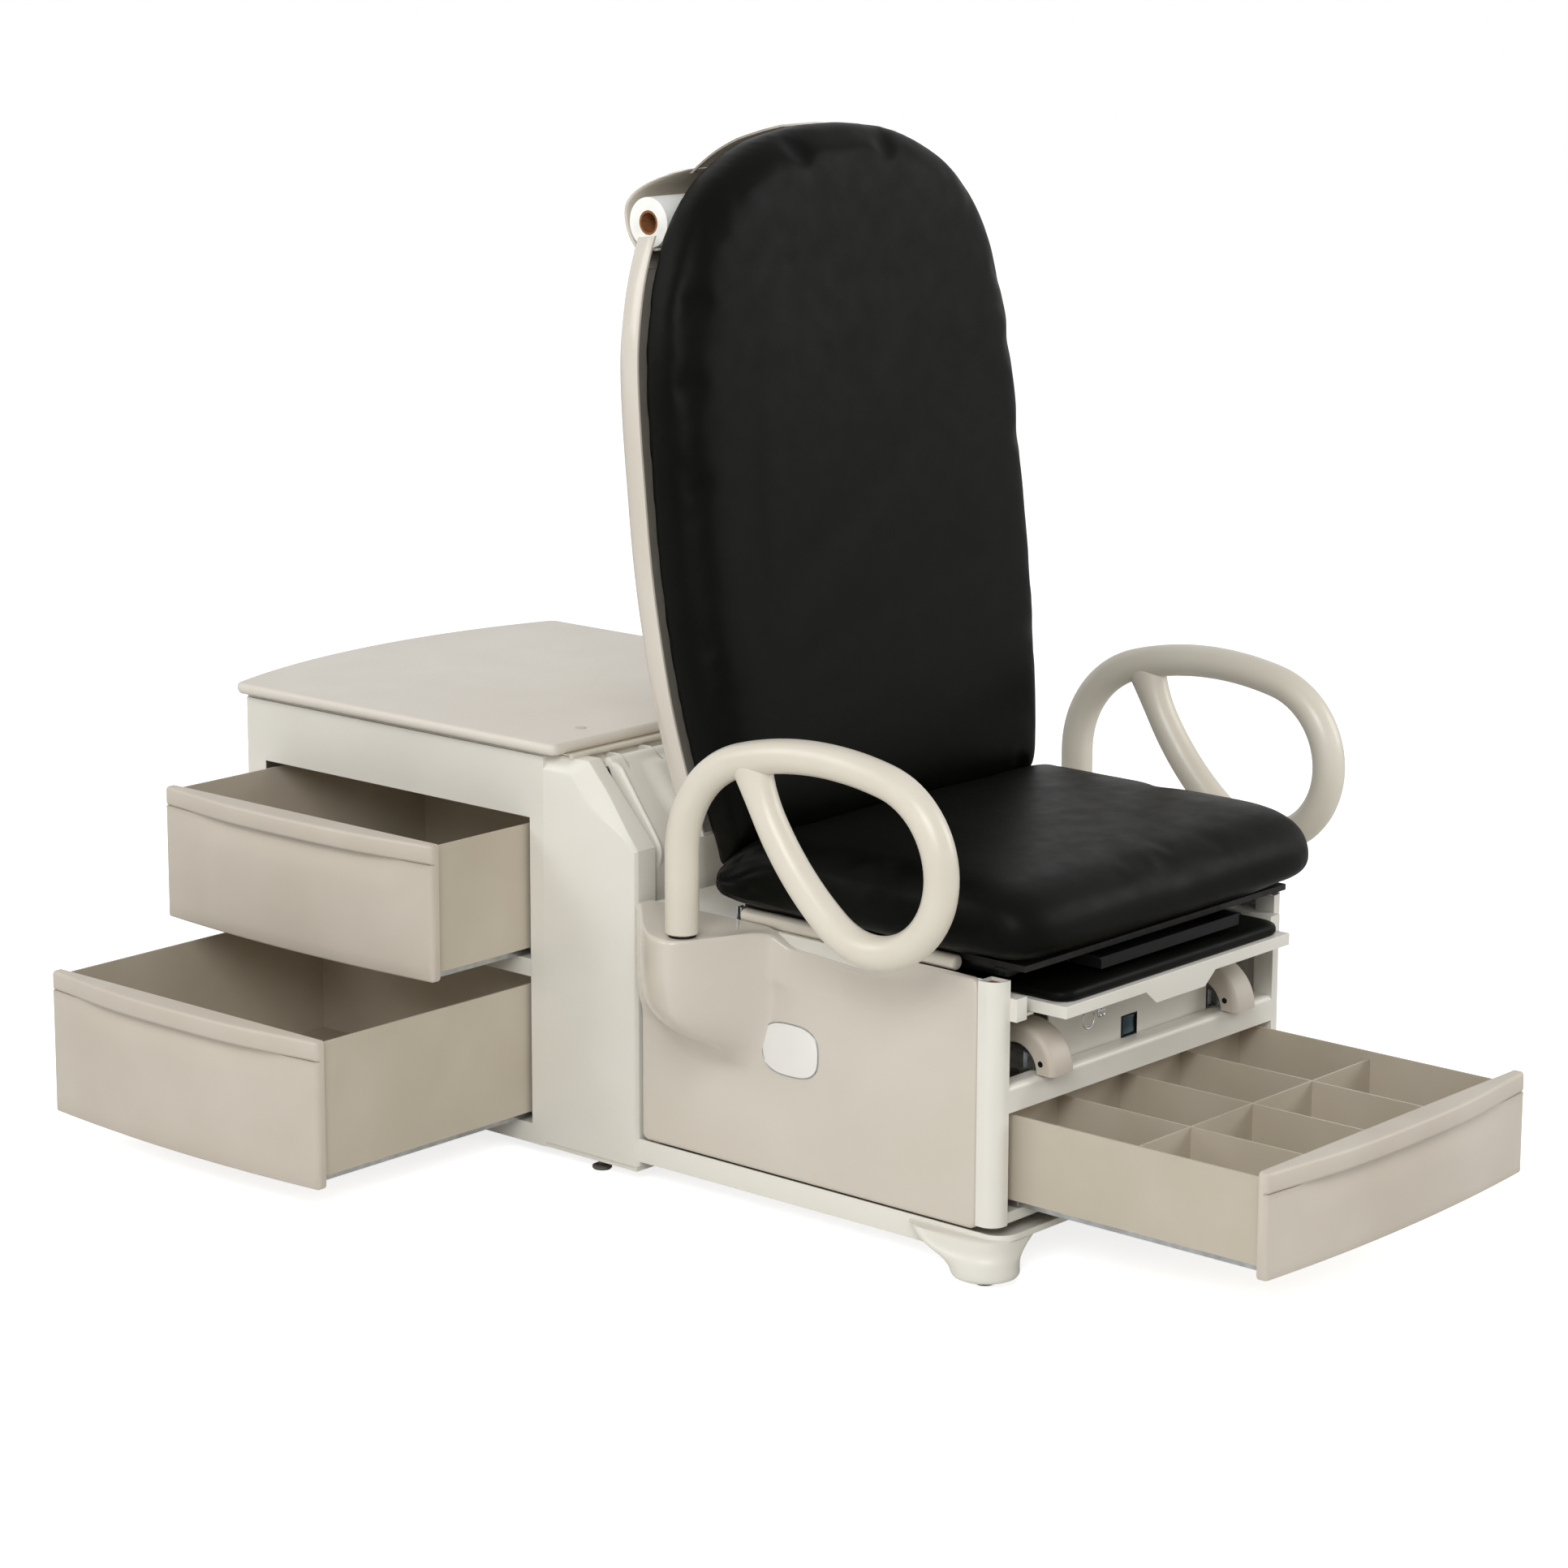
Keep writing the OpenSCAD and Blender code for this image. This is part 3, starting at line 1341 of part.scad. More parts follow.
// Outline of the roll hood in (x, z), narrower toward its top
module hood_plan() {
    top_share = 0.88;
    top = top_share * hood_half;
    low = roll_s - 2 * roll_r;
    bend = roll_s + hood_bend_share * roll_r;
    high = roll_s + hood_high_share * roll_r;
    polygon([[-hood_half, low], [hood_half, low], [hood_half, bend], [top, high], [-top, high],
        [-hood_half, bend]]);
}

// Moulded shell behind the back cushion, with the open ended hood of the paper roll
module back_shell() {
    t = shell_wall;
    low = shell_low;
    n0 = shell_n;
    n1 = shell_n + shell_d;
    bed_share = 0.84;
    x = back_half * bed_share;
    bed = roll_s - roll_r - near;
    open_top = roll_s + hood_open_share * roll_r;
    neck_room = 30;
    // drawn in and set behind the cushion, as shares of the depth of the shell
    outer_shares = [[2.7, 1], [0.46, 1], [0.18, 0.93], [0.09, 0.18], [0.09, 0]];
    outer = [for (s = outer_shares) [s[0] * shell_d, n0 + s[1] * shell_d]];
    last = len(outer) - 1;
    inner = [for (k = [last : -1 : 0]) let (p = outer[k])
        [p[0] + (k == 0 ? 0 : t), p[1] - (p[1] > n0 + shell_d / 2 ? t : 0)]];
    color(taupe) back_place() {
        difference() {
            loft(concat([for (s = outer) back_ring(s[0], low, s[1])],
                [for (s = inner) back_ring(s[0], low + t, s[1])]));
            both_sides() block([ear_x - 3 * ear_t - 2 * cut, ear_x - 2 * ear_t],
                [n0 - 2 * cut, n0 + neck_room], [low - cut, low + neck_room]);
            block([-back_half, back_half], [0, 2 * n1], [bed - t / 2, open_top]);
        }
        block([-x, x], [n0 + cut, n1 - 2 * cut], [bed - t, bed]);
        difference() {
            intersection() {
                along_x(-hood_half, hood_half) hood_section(0);
                translate([0, 3 * n1, 0]) rotate([90, 0, 0]) linear_extrude(3 * n1) hood_plan();
            }
            along_x(-hood_half - cut, hood_half + cut) hood_section(hood_wall);
            block([-back_half, back_half], [0, shell_n + hood_wall + cut], [bed - t - cut, open_top]);
            block([-back_half, back_half], [0, n1 - t], [0, bed - t / 2]);
        }
    }
}

// Steel frame of the back, from the hinge up inside the shell
module back_frame() {
    n0 = shell_n + lumbar + cut;
    n1 = n0 + frame_bar;
    x = ear_x - 2 * ear_t - cut;
    bar = 24;
    top_share = 0.68;
    toe_share = 0.3;
    neck = [shell_low - 2 * shell_wall, frame_low + tube_r];
    color(zinc) back_place() {
        both_sides() difference() {
            union() {
                rod_x(knuckle_r, x - ear_t, x, 0, 0);
                along_x(x - ear_t, x) polygon([[-knuckle_r / 2, 0], [knuckle_r, -toe_share * knuckle_r],
                    [n1, neck[0]], [n1, neck[1]], [n0, neck[1]], [n0, neck[0]]]);
            }
            rod_x(hinge_pin_r + slip, x - ear_t - cut, x + cut, 0, 0);
        }
        both_sides() block([x - ear_t, x + ear_t], [n0, n1], [frame_low, back_l * top_share + bar]);
        for (s = [frame_low + bar, back_l * top_share]) block([-x, x], [n0, n1], [s, s + bar]);
    }
}

// Ratchet discs between the seat ears and the back frame
module recline_ratchets() {
    play = cut / 2;
    x = ear_x - ear_t - play;
    color(zinc) both_sides() difference() {
        rod_x(knuckle_r - cut, x, ear_x - play, -hinge_y, hinge_z);
        rod_x(hinge_pin_r + slip, x - cut, ear_x + cut, -hinge_y, hinge_z);
    }
}

// Roll of couch paper
module paper_roll() {
    color("#F4F4F0") back_place() difference() {
        rod_x(roll_r, -roll_l / 2, roll_l / 2, roll_n, roll_s);
        rod_x(core_r + core_t, -roll_l / 2 - cut, roll_l / 2 + cut, roll_n, roll_s);
    }
}

// Cardboard core of the paper roll
module roll_core() {
    color("#8A5A36") back_place() difference() {
        rod_x(core_r + core_t, -roll_l / 2, roll_l / 2, roll_n, roll_s);
        rod_x(core_r, -roll_l / 2 - cut, roll_l / 2 + cut, roll_n, roll_s);
    }
}

// Turns of the arm loop from the top of the post: radius as a share of the lower turn, and angle
turn_shares = [[1.318, 73], [4.308, 30], [1.056, 84], [1, 120], [3.738, 34.5]];
arm_turns = [for (s = turn_shares) [s[0] * arm_loop_r, s[1]]];
// How much thinner the brace is where it meets the top of the loop
brace_taper = arm_r / 11;

// Heading of the arm tube before turn k, in degrees from +y toward +z
function arm_heading(k) = k == 0 ? 90 : arm_heading(k - 1) + arm_turns[k - 1][1];

// Middle of turn k as [y, z] from the foot of the post
function arm_middle(k) = k == 0 ? [-arm_turns[0][0], arm_post_l] :
    arm_middle(k - 1) + (arm_turns[k - 1][0] - arm_turns[k][0]) * [sin(arm_heading(k)), -cos(arm_heading(k))];

// Radius of the tube in turn k at angle w, thinner toward the end of the brace
function arm_radius(k, w) =
    arm_r - (k < len(arm_turns) - 1 ? 0 : brace_taper * (w - arm_heading(k) + 90) / arm_turns[k][1]);

// The bent tube of an arm through turns first to last
module arm_loop(first, last) {
    sides = 20;
    step = 25;
    stops = concat(
        [for (k = [first : last]) let (n = ceil(arm_turns[k][0] * arm_turns[k][1] * PI / 180 / step))
            for (i = [0 : n - 1]) [k, arm_heading(k) - 90 + arm_turns[k][1] * i / n]],
        [[last, arm_heading(last + 1) - 90]]);
    loft([for (stop = stops) let (middle = arm_middle(stop[0]), radius = arm_radius(stop[0], stop[1]))
        [for (i = [sides : -1 : 1]) let (w = 360 * i / sides, r = arm_turns[stop[0]][0] + radius * cos(w))
            [radius * sin(w), middle[0] + r * cos(stop[1]), middle[1] + r * sin(stop[1])]]]);
}

// An arm: the post and the loop with its brace
module arm() {
    bore_share = 0.9;
    color(cream) translate([arm_x, -arm_y, arm_z]) difference() {
        union() {
            cylinder(h = arm_post_l, r = arm_r);
            arm_loop(0, 3);
            arm_loop(4, 4);
        }
        translate([0, 0, -cut]) cylinder(h = bore_share * arm_post_l + cut, r = pivot_r + slip);
    }
}

// Arm at -x
module arm_left() {
    mirror([1, 0, 0]) arm();
}

// Arm at +x
module arm_right() {
    arm();
}

base_pan();
levelling_feet();
cabinet_wrap();
cabinet_floor();
drawer_face_frame();
bin_tray();
wing_panels();
front_cover();
lid_hinge_base();
lid_bumpers();
side_drawer_runners();
power_inlet();
column_outer();
lift_motor();
column_middle();
column_inner();
front_frame();
frame_wrap();
drawer_bay();
deck_panel();
shroud_left();
shroud_right();
side_badges();
switch_panel();
arm_pivots();
stirrup_guides();
tray_runners();
front_drawer_runners();
seat_frame();
seat_board();
seat_cushion();
rocker_button();
recline_ratchets();
back_frame();
back_shell();
back_cushion();
paper_roll();
roll_core();
arm_left();
arm_right();
upper_drawer_front();
upper_drawer_box();
upper_drawer_slides();
lower_drawer_front();
lower_drawer_box();
lower_drawer_slides();
front_drawer_front();
front_drawer_box();
front_drawer_dividers();
front_drawer_slides();
worktop_lid();
lid_hinge_leaf();
foot_tray();
foot_pad();
treatment_pan();
stirrup_arm_left();
stirrup_arm_right();
heel_cup_left();
heel_cup_right();
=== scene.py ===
"""Looks of the treatment table: upholstery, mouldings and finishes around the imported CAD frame."""
import json
import math

import bmesh
import bpy
from mathutils import Matrix, Vector

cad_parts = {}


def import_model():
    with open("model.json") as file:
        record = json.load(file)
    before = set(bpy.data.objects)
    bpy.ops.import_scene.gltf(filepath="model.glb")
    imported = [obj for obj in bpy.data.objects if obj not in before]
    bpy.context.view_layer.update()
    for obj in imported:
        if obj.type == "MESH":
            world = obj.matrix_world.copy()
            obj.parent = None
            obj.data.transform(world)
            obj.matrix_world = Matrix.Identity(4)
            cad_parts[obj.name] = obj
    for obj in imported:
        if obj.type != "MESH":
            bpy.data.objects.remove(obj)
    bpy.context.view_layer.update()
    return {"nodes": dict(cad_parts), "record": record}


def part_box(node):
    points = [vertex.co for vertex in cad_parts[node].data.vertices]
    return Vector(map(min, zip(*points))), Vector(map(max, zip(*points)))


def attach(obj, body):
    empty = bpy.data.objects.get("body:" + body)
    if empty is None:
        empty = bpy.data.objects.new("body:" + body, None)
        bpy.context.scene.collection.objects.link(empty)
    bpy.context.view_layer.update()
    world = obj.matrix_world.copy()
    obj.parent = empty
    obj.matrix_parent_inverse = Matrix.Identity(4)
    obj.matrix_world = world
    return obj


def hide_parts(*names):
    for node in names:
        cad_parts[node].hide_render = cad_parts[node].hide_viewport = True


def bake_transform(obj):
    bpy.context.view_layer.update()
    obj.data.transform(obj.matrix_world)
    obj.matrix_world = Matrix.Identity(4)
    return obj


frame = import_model()

# Lengths below are in millimetres unless a name says otherwise
MM = 0.001
HINGE = Vector((0, -222, 452))
BACK_LEAN = math.radians(7.5)
# vertices closer than this are one
WELD = 0.001


# Geometry helpers

def mm_box(node):
    """Lowest and highest corner of a CAD node, in millimetres."""
    low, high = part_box(node)
    return low / MM, high / MM


def smooth(t):
    """Eases from 0 to 1 as t goes from 0 to 1."""
    t = min(1.0, max(0.0, t))
    return t * t * (3 - 2 * t)


def along(table, t):
    """Value of a table of (place, value) pairs at t, on a smooth curve."""
    if t <= table[0][0]:
        return table[0][1]
    for k in range(len(table) - 1):
        (a, va), (b, vb) = table[k], table[k + 1]
        if t <= b:
            before = table[max(0, k - 1)]
            after = table[min(len(table) - 1, k + 2)]
            ma = (vb - before[1]) / (b - before[0]) * (b - a)
            mb = (after[1] - va) / (after[0] - a) * (b - a)
            u = (t - a) / (b - a)
            return ((2 * u ** 3 - 3 * u ** 2 + 1) * va + (u ** 3 - 2 * u ** 2 + u) * ma
                    + (3 * u ** 2 - 2 * u ** 3) * vb + (u ** 3 - u ** 2) * mb)
    return table[-1][1]


def circle(count):
    """Angles of even steps round a full turn."""
    return [2 * math.pi * i / count for i in range(count)]


def arc(start, end, count):
    """Angles of count even steps between two angles in degrees, both ends included."""
    return [math.radians(start + (end - start) * i / count) for i in range(count + 1)]


def squircle(count, power, rear_power=None):
    """Radius, cosine and sine of steps round a unit form: a circle at power 2, squarer above it."""
    steps = []
    for w in circle(count):
        c, s = math.cos(w), math.sin(w)
        n = rear_power if rear_power and s >= 0 else power
        steps.append(((abs(c) ** n + abs(s) ** n) ** (-1 / n), c, s))
    return steps


def mesh_from(bm, name):
    """Mesh in metres from a bmesh in millimetres, which is used up."""
    bmesh.ops.recalc_face_normals(bm, faces=bm.faces)
    bmesh.ops.scale(bm, vec=(MM, MM, MM), verts=bm.verts)
    mesh = bpy.data.meshes.new(name)
    bm.to_mesh(mesh)
    bm.free()
    return mesh


def shade(mesh, crease):
    """Smooth shading, but for edges sharper than crease degrees."""
    mesh.shade_smooth()
    mesh.set_sharp_from_angle(angle=math.radians(crease))


def carve(piece, cutters, crease=40):
    """Cuts closed forms out of a piece, each a bmesh in millimetres."""
    for bm in cutters:
        mesh = mesh_from(bm, "cutter")
        tool = bpy.data.objects.new("cutter", mesh)
        bpy.context.scene.collection.objects.link(tool)
        cut = piece.modifiers.new("cut", "BOOLEAN")
        cut.operation = "DIFFERENCE"
        cut.solver = "EXACT"
        cut.object = tool
        bake(piece)
        bpy.data.objects.remove(tool)
        bpy.data.meshes.remove(mesh)
    shade(piece.data, crease)


def rod(start, end, radius, sides=24):
    """Closed round bar between two points, as a bmesh."""
    bm = bmesh.new()
    add_tube(bm, (start, end), radius, sides)
    return bm


def block(low, high, bevel=0.0):
    """Closed box between two corners, as a bmesh."""
    bm = bmesh.new()
    add_block(bm, low, high, bevel)
    return bm


def make_piece(name, bm, body, slot, crease=40, replaces=()):
    """Turns a bmesh in millimetres into a piece that rides on a body."""
    mesh = mesh_from(bm, name)
    shade(mesh, crease)
    piece = bpy.data.objects.new(name, mesh)
    bpy.context.scene.collection.objects.link(piece)
    mesh.materials.append(finishes[slot])
    if body:
        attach(piece, body)
    if replaces:
        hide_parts(*replaces)
    return piece


def add_skin(bm, rings, caps=True):
    """Adds a skin through rings of equal length to a bmesh, with a flat cap on either end."""
    rows = [[bm.verts.new(p) for p in ring] for ring in rings]
    count = len(rows[0])
    for a, b in zip(rows, rows[1:]):
        for i in range(count):
            j = (i + 1) % count
            bm.faces.new((a[i], a[j], b[j], b[i]))
    if caps:
        bm.faces.new(rows[0][::-1])
        bm.faces.new(rows[-1])


def skin(rings, caps=True):
    """Closed skin through rings, as a bmesh."""
    bm = bmesh.new()
    add_skin(bm, rings, caps)
    return bm


def add_tube(bm, points, radius, sides=12):
    """Adds a round tube along points, with flat ends, to a bmesh."""
    points = [Vector(p) for p in points]
    rings = []
    side = None
    for k, p in enumerate(points):
        d = (points[min(k + 1, len(points) - 1)] - points[max(k - 1, 0)]).normalized()
        if side is None:
            side = d.orthogonal().normalized()
        side = (side - d * side.dot(d)).normalized()
        up = d.cross(side)
        rings.append([p + radius * (math.cos(w) * side + math.sin(w) * up) for w in circle(sides)])
    add_skin(bm, rings)


def add_block(bm, low, high, bevel=0.0):
    """Adds a box between two corners to a bmesh, with its edges rounded by bevel."""
    part = bmesh.new()
    bmesh.ops.create_cube(part, size=1)
    size = Vector(high) - Vector(low)
    middle = (Vector(high) + Vector(low)) / 2
    for v in part.verts:
        v.co = Vector((v.co.x * size.x, v.co.y * size.y, v.co.z * size.z)) + middle
    if bevel:
        bmesh.ops.bevel(part, geom=part.edges[:], offset=bevel, segments=3, profile=0.5, affect="EDGES")
    mesh = bpy.data.meshes.new("part")
    part.to_mesh(mesh)
    part.free()
    bm.from_mesh(mesh)
    bpy.data.meshes.remove(mesh)


def soften(node, body, slot, width):
    """Stands for a folded or machined CAD node, with its sharp edges eased by width."""
    bm = bmesh.new()
    bm.from_mesh(frame["nodes"][node].data)
    bmesh.ops.scale(bm, vec=(1 / MM, 1 / MM, 1 / MM), verts=bm.verts)
    bmesh.ops.remove_doubles(bm, verts=bm.verts, dist=0.02)
    bmesh.ops.dissolve_limit(bm, angle_limit=math.radians(1), verts=bm.verts, edges=bm.edges)
    sharp = [e for e in bm.edges if len(e.link_faces) == 2 and e.calc_face_angle(0) > math.radians(35)]
    bmesh.ops.bevel(bm, geom=sharp, offset=width, segments=2, profile=0.5, affect="EDGES",
                    clamp_overlap=True)
    piece = make_piece(node + "_eased", bm, body, slot, replaces=(node,))
    flat = piece.modifiers.new("flat faces", "WEIGHTED_NORMAL")
    flat.keep_sharp = True
    return piece


# Finishes

def rgb(code):
    """Linear colour of an sRGB code."""
    parts = [int(code[k:k + 2], 16) / 255 for k in (0, 2, 4)]
    return [c / 12.92 if c <= 0.04045 else ((c + 0.055) / 1.055) ** 2.4 for c in parts] + [1.0]


class Finish:
    """A Principled material with its nodes added one by one."""

    def __init__(self, name, specular, metallic=0.0):
        self.material = bpy.data.materials.new(name)
        self.material.use_nodes = True
        self.nodes = self.material.node_tree.nodes
        self.links = self.material.node_tree.links
        self.shader = self.nodes["Principled BSDF"]
        self.coords = self.add("ShaderNodeTexCoord").outputs["Object"]
        self.normal = None
        self.shader.inputs["Metallic"].default_value = metallic
        self.shader.inputs["Specular IOR Level"].default_value = specular

    def add(self, kind, **inputs):
        made = self.nodes.new(kind)
        for key, value in inputs.items():
            made.inputs[key.replace("_", " ")].default_value = value
        return made

    def place(self, stretch=(1, 1, 1)):
        """Object coordinates in metres, stretched along an axis."""
        if stretch == (1, 1, 1):
            return self.coords
        mapping = self.add("ShaderNodeMapping", Scale=stretch)
        self.links.new(self.coords, mapping.inputs["Vector"])
        return mapping.outputs["Vector"]

    def noise(self, scale, detail, stretch=(1, 1, 1)):
        made = self.add("ShaderNodeTexNoise", Scale=scale, Detail=detail)
        self.links.new(self.place(stretch), made.inputs["Vector"])
        return made.outputs["Fac"]

    def cells(self, scale):
        made = self.add("ShaderNodeTexVoronoi", Scale=scale)
        self.links.new(self.coords, made.inputs["Vector"])
        return made.outputs["Distance"]

    def tones(self, source, codes, low=0.3, high=0.7):
        """Base colour that goes through colour codes as source goes from low to high."""
        ramp = self.add("ShaderNodeValToRGB")
        marks = ramp.color_ramp.elements
        for k, code in enumerate(codes):
            place = low + (high - low) * k / max(1, len(codes) - 1)
            mark = marks[k] if k < len(marks) else marks.new(place)
            mark.position = place
            mark.color = rgb(code)
        self.links.new(source, ramp.inputs["Fac"])
        self.links.new(ramp.outputs["Color"], self.shader.inputs["Base Color"])

    def gloss(self, source, low, high):
        """Roughness between low and high by source."""
        spread = self.add("ShaderNodeMapRange", From_Min=0.3, From_Max=0.7, To_Min=low, To_Max=high)
        self.links.new(source, spread.inputs["Value"])
        self.links.new(spread.outputs["Result"], self.shader.inputs["Roughness"])

    def bump(self, source, depth, strength):
        """Relief of depth millimetres, on top of any relief added before."""
        made = self.add("ShaderNodeBump", Strength=strength, Distance=depth * MM)
        self.links.new(source, made.inputs["Height"])
        if self.normal:
            self.links.new(self.normal, made.inputs["Normal"])
        self.normal = made.outputs["Normal"]
        self.links.new(self.normal, self.shader.inputs["Normal"])


def surface(name, codes, tone, patches, gloss, grain, relief, specular=0.5, metallic=0.0):
    """Drifting tone, uneven gloss and fine relief, each by a noise of (scale, detail, stretch)."""
    finish = Finish(name, specular, metallic)
    finish.tones(finish.noise(*tone), codes)
    finish.gloss(finish.noise(*patches), *gloss)
    finish.bump(finish.noise(*grain), *relief)
    return finish.material


def painted(name, codes, low=0.32, high=0.42, peel=0.16):
    """Powder coat: a faint drift of tone, with orange peel."""
    return surface(name, codes, (6, 3), (40, 3), (low, high), (700, 2), (0.12, peel))


def moulded(name, codes, low, high, grain, depth, specular=0.45):
    """Moulded plastic: an even tone with fine grain."""
    return surface(name, codes, (5, 3), (25, 3), (low, high), (grain, 3), (depth, 0.35), specular)


def metal(name, codes, low, high, stretch=(1, 1, 1), scale=300):
    """Bare or plated metal, with brush marks along the axis that is stretched least."""
    tone, patches = (scale / 6, 3, stretch), (scale / 3, 3, stretch)
    return surface(name, codes, tone, patches, (low, high), (scale, 4, stretch), (0.02, 0.25), metallic=1.0)


def laminate(name):
    """Worktop laminate: a fine speckle under a satin top."""
    finish = Finish(name, 0.4)
    finish.tones(finish.noise(1400, 2), ("D3CCC0", "D9D2C7", "DED8CE"), 0.35, 0.65)
    finish.gloss(finish.noise(12, 3), 0.4, 0.5)
    finish.bump(finish.cells(900), 0.05, 0.25)
    return finish.material


def vinyl(name):
    """Black vinyl: fine leather grain, with broad soft unevenness from the foam below."""
    finish = Finish(name, 0.06)
    finish.tones(finish.noise(9, 4), ("060705", "080906", "0A0B08"))
    finish.gloss(finish.noise(30, 4), 0.4, 0.48)
    for source, depth, strength in ((finish.noise(7, 2), 1.6, 0.2), (finish.cells(850), 0.16, 0.3),
                                    (finish.noise(2600, 3), 0.05, 0.3)):
        finish.bump(source, depth, strength)
    return finish.material


# name, maker and what the maker takes after the name
FINISHES = (
    ("cabinet_enamel", painted, ("DEDBD0", "E1DED4", "E4E1D8")),
    ("worktop", laminate),
    ("drawer_fronts", moulded, ("C0B6A8", "C4BBAD", "C9C0B3"), 0.42, 0.52, 1500, 0.08),
    ("drawer_boxes", painted, ("B8AE9C", "BDB3A2", "C3B9A9"), 0.4, 0.5),
    ("shroud_plastic", moulded, ("CBC3B5", "CEC6B9", "D1CABE"), 0.17, 0.2, 900, 0.004),
    ("arm_coat", painted, ("CFC8B8", "D4CDBE", "D8D2C4"), 0.28, 0.36, 0.08),
    ("badge", moulded, ("E4E1DA", "E8E6DF", "ECEAE5"), 0.18, 0.24, 400, 0.01),
    ("vinyl", vinyl),
    # the seat board is near black: a black dust cover, darkened further as painted shade under the seat
    ("board", surface, ("0E0D0B", "13110E", "181613"), (30, 5, (14, 1, 14)), (60, 3), (0.5, 0.7),
     (200, 4, (8, 1, 8)), (0.1, 0.3), 0.3),
    ("zinc", metal, ("ABAFB0", "B9BCBD", "C8CBCC"), 0.3, 0.45, (1, 1, 1), 400),
    ("column_steel", metal, ("9DA0A1", "A9ACAD", "B5B8B9"), 0.28, 0.4, (8, 8, 1)),
    ("pivot_steel", metal, ("232323", "2B2B2B", "353535"), 0.3, 0.45),
    ("motor_case", painted, ("333435", "3A3B3C", "424344"), 0.4, 0.5),
    ("foot_rubber", surface, ("55544D", "615F58", "6C6A63"), (60, 3), (80, 3), (0.65, 0.85), (900, 3),
     (0.1, 0.4), 0.3),
    ("black_plastic", moulded, ("0B0B0B", "0F0F0F", "141414"), 0.45, 0.6, 1200, 0.06, 0.15),
    ("rocker_plastic", moulded, ("1B3A42", "24434A", "2C5058"), 0.2, 0.3, 500, 0.02),
    ("paper", surface, ("ECECE6", "F3F3EE", "F8F8F5"), (40, 3), (60, 3), (0.8, 0.9), (500, 3, (1, 6, 6)),
     (0.15, 0.35), 0.15),
    ("core_board", surface, ("74482A", "8A5A36", "9B6B45"), (120, 3, (1, 5, 5)), (90, 3), (0.72, 0.88),
     (700, 3), (0.1, 0.3), 0.2),
)
finishes = {name: make(name, *values) for name, make, *values in FINISHES}


def dress_nodes():
    """Gives every CAD node the finish of its slot."""
    for row in frame["record"]["subparts"]:
        shown = frame["nodes"][row["node"]]
        for place in shown.material_slots:
            place.material = finishes[row["material_slot"]]


# Upholstery

def remesh(piece, voxel):
    """Even quads over a closed form, with voxels of that many millimetres."""
    grid = piece.modifiers.new("even", "REMESH")
    grid.mode = "VOXEL"
    grid.voxel_size = voxel * MM
    grid.use_smooth_shade = True
    bake(piece)


def bake(piece):
    """Applies what the modifiers of a piece do to its mesh."""
    bpy.context.view_layer.update()
    graph = bpy.context.evaluated_depsgraph_get()
    mesh = bpy.data.meshes.new_from_object(piece.evaluated_get(graph))
    piece.modifiers.clear()
    old = piece.data
    piece.data = mesh
    mesh.name = old.name
    bpy.data.meshes.remove(old)


def upholster(piece):
    """Turns a closed form into a stuffed cushion with smooth vinyl over it."""
    remesh(piece, 7)
    relax(piece, 4)
    stuff(piece, 9)
    relax(piece, 8)


def stuff(piece, limit, frames=20):
    """Swells a cushion as stuffed vinyl, no point by more than limit millimetres."""
    rest = [v.co.copy() for v in piece.data.vertices]
    cloth = piece.modifiers.new("stuffing", "CLOTH")
    cloth.settings.use_pressure = True
    cloth.settings.uniform_pressure_force = 4
    cloth.settings.tension_stiffness = 40
    cloth.settings.compression_stiffness = 40
    cloth.settings.bending_stiffness = 15
    cloth.settings.quality = 4
    cloth.settings.effector_weights.gravity = 0
    for k in range(1, frames + 1):
        bpy.context.scene.frame_set(k)
    bake(piece)
    bpy.context.scene.frame_set(1)
    for v, start in zip(piece.data.vertices, rest):
        move = v.co - start
        if move.length > limit * MM:
            v.co = start + move * (limit * MM / move.length)


def relax(piece, rounds):
    """Evens out small dents."""
    ease = piece.modifiers.new("even out", "SMOOTH")
    ease.iterations = rounds
    ease.factor = 0.5
    bake(piece)


def refine(piece):
    """Splits each face in four on a smooth surface."""
    finer = piece.modifiers.new("finer", "SUBSURF")
    finer.levels = 1
    finer.render_levels = 1
    bake(piece)


def fit(piece, low, high):
    """Stretches a piece over the box from low to high, in millimetres."""
    points = [v.co.copy() for v in piece.data.vertices]
    for i in range(3):
        least, most = min(p[i] for p in points) / MM, max(p[i] for p in points) / MM
        for v, p in zip(piece.data.vertices, points):
            v.co[i] = (low[i] + (p[i] / MM - least) * (high[i] - low[i]) / (most - least)) * MM


def shape_points(piece, move):
    """Moves each point of a piece by what move says of its place in millimetres."""
    for v in piece.data.vertices:
        v.co += Vector(move(v.co / MM)) * MM


# across the plane of the crease between the seat and the back
SEAT_LOW, SEAT_HIGH = mm_box("seat_cushion")
SEAT_MID = SEAT_LOW.y + 260


def seat_ring(half, front, rear, z):
    """Level outline of the seat: round corners in front, tighter ones at the rear."""
    return [(half * r * c, SEAT_MID + (front if s < 0 else rear) * r * s, z)
            for r, c, s in squircle(144, 9, 16)]


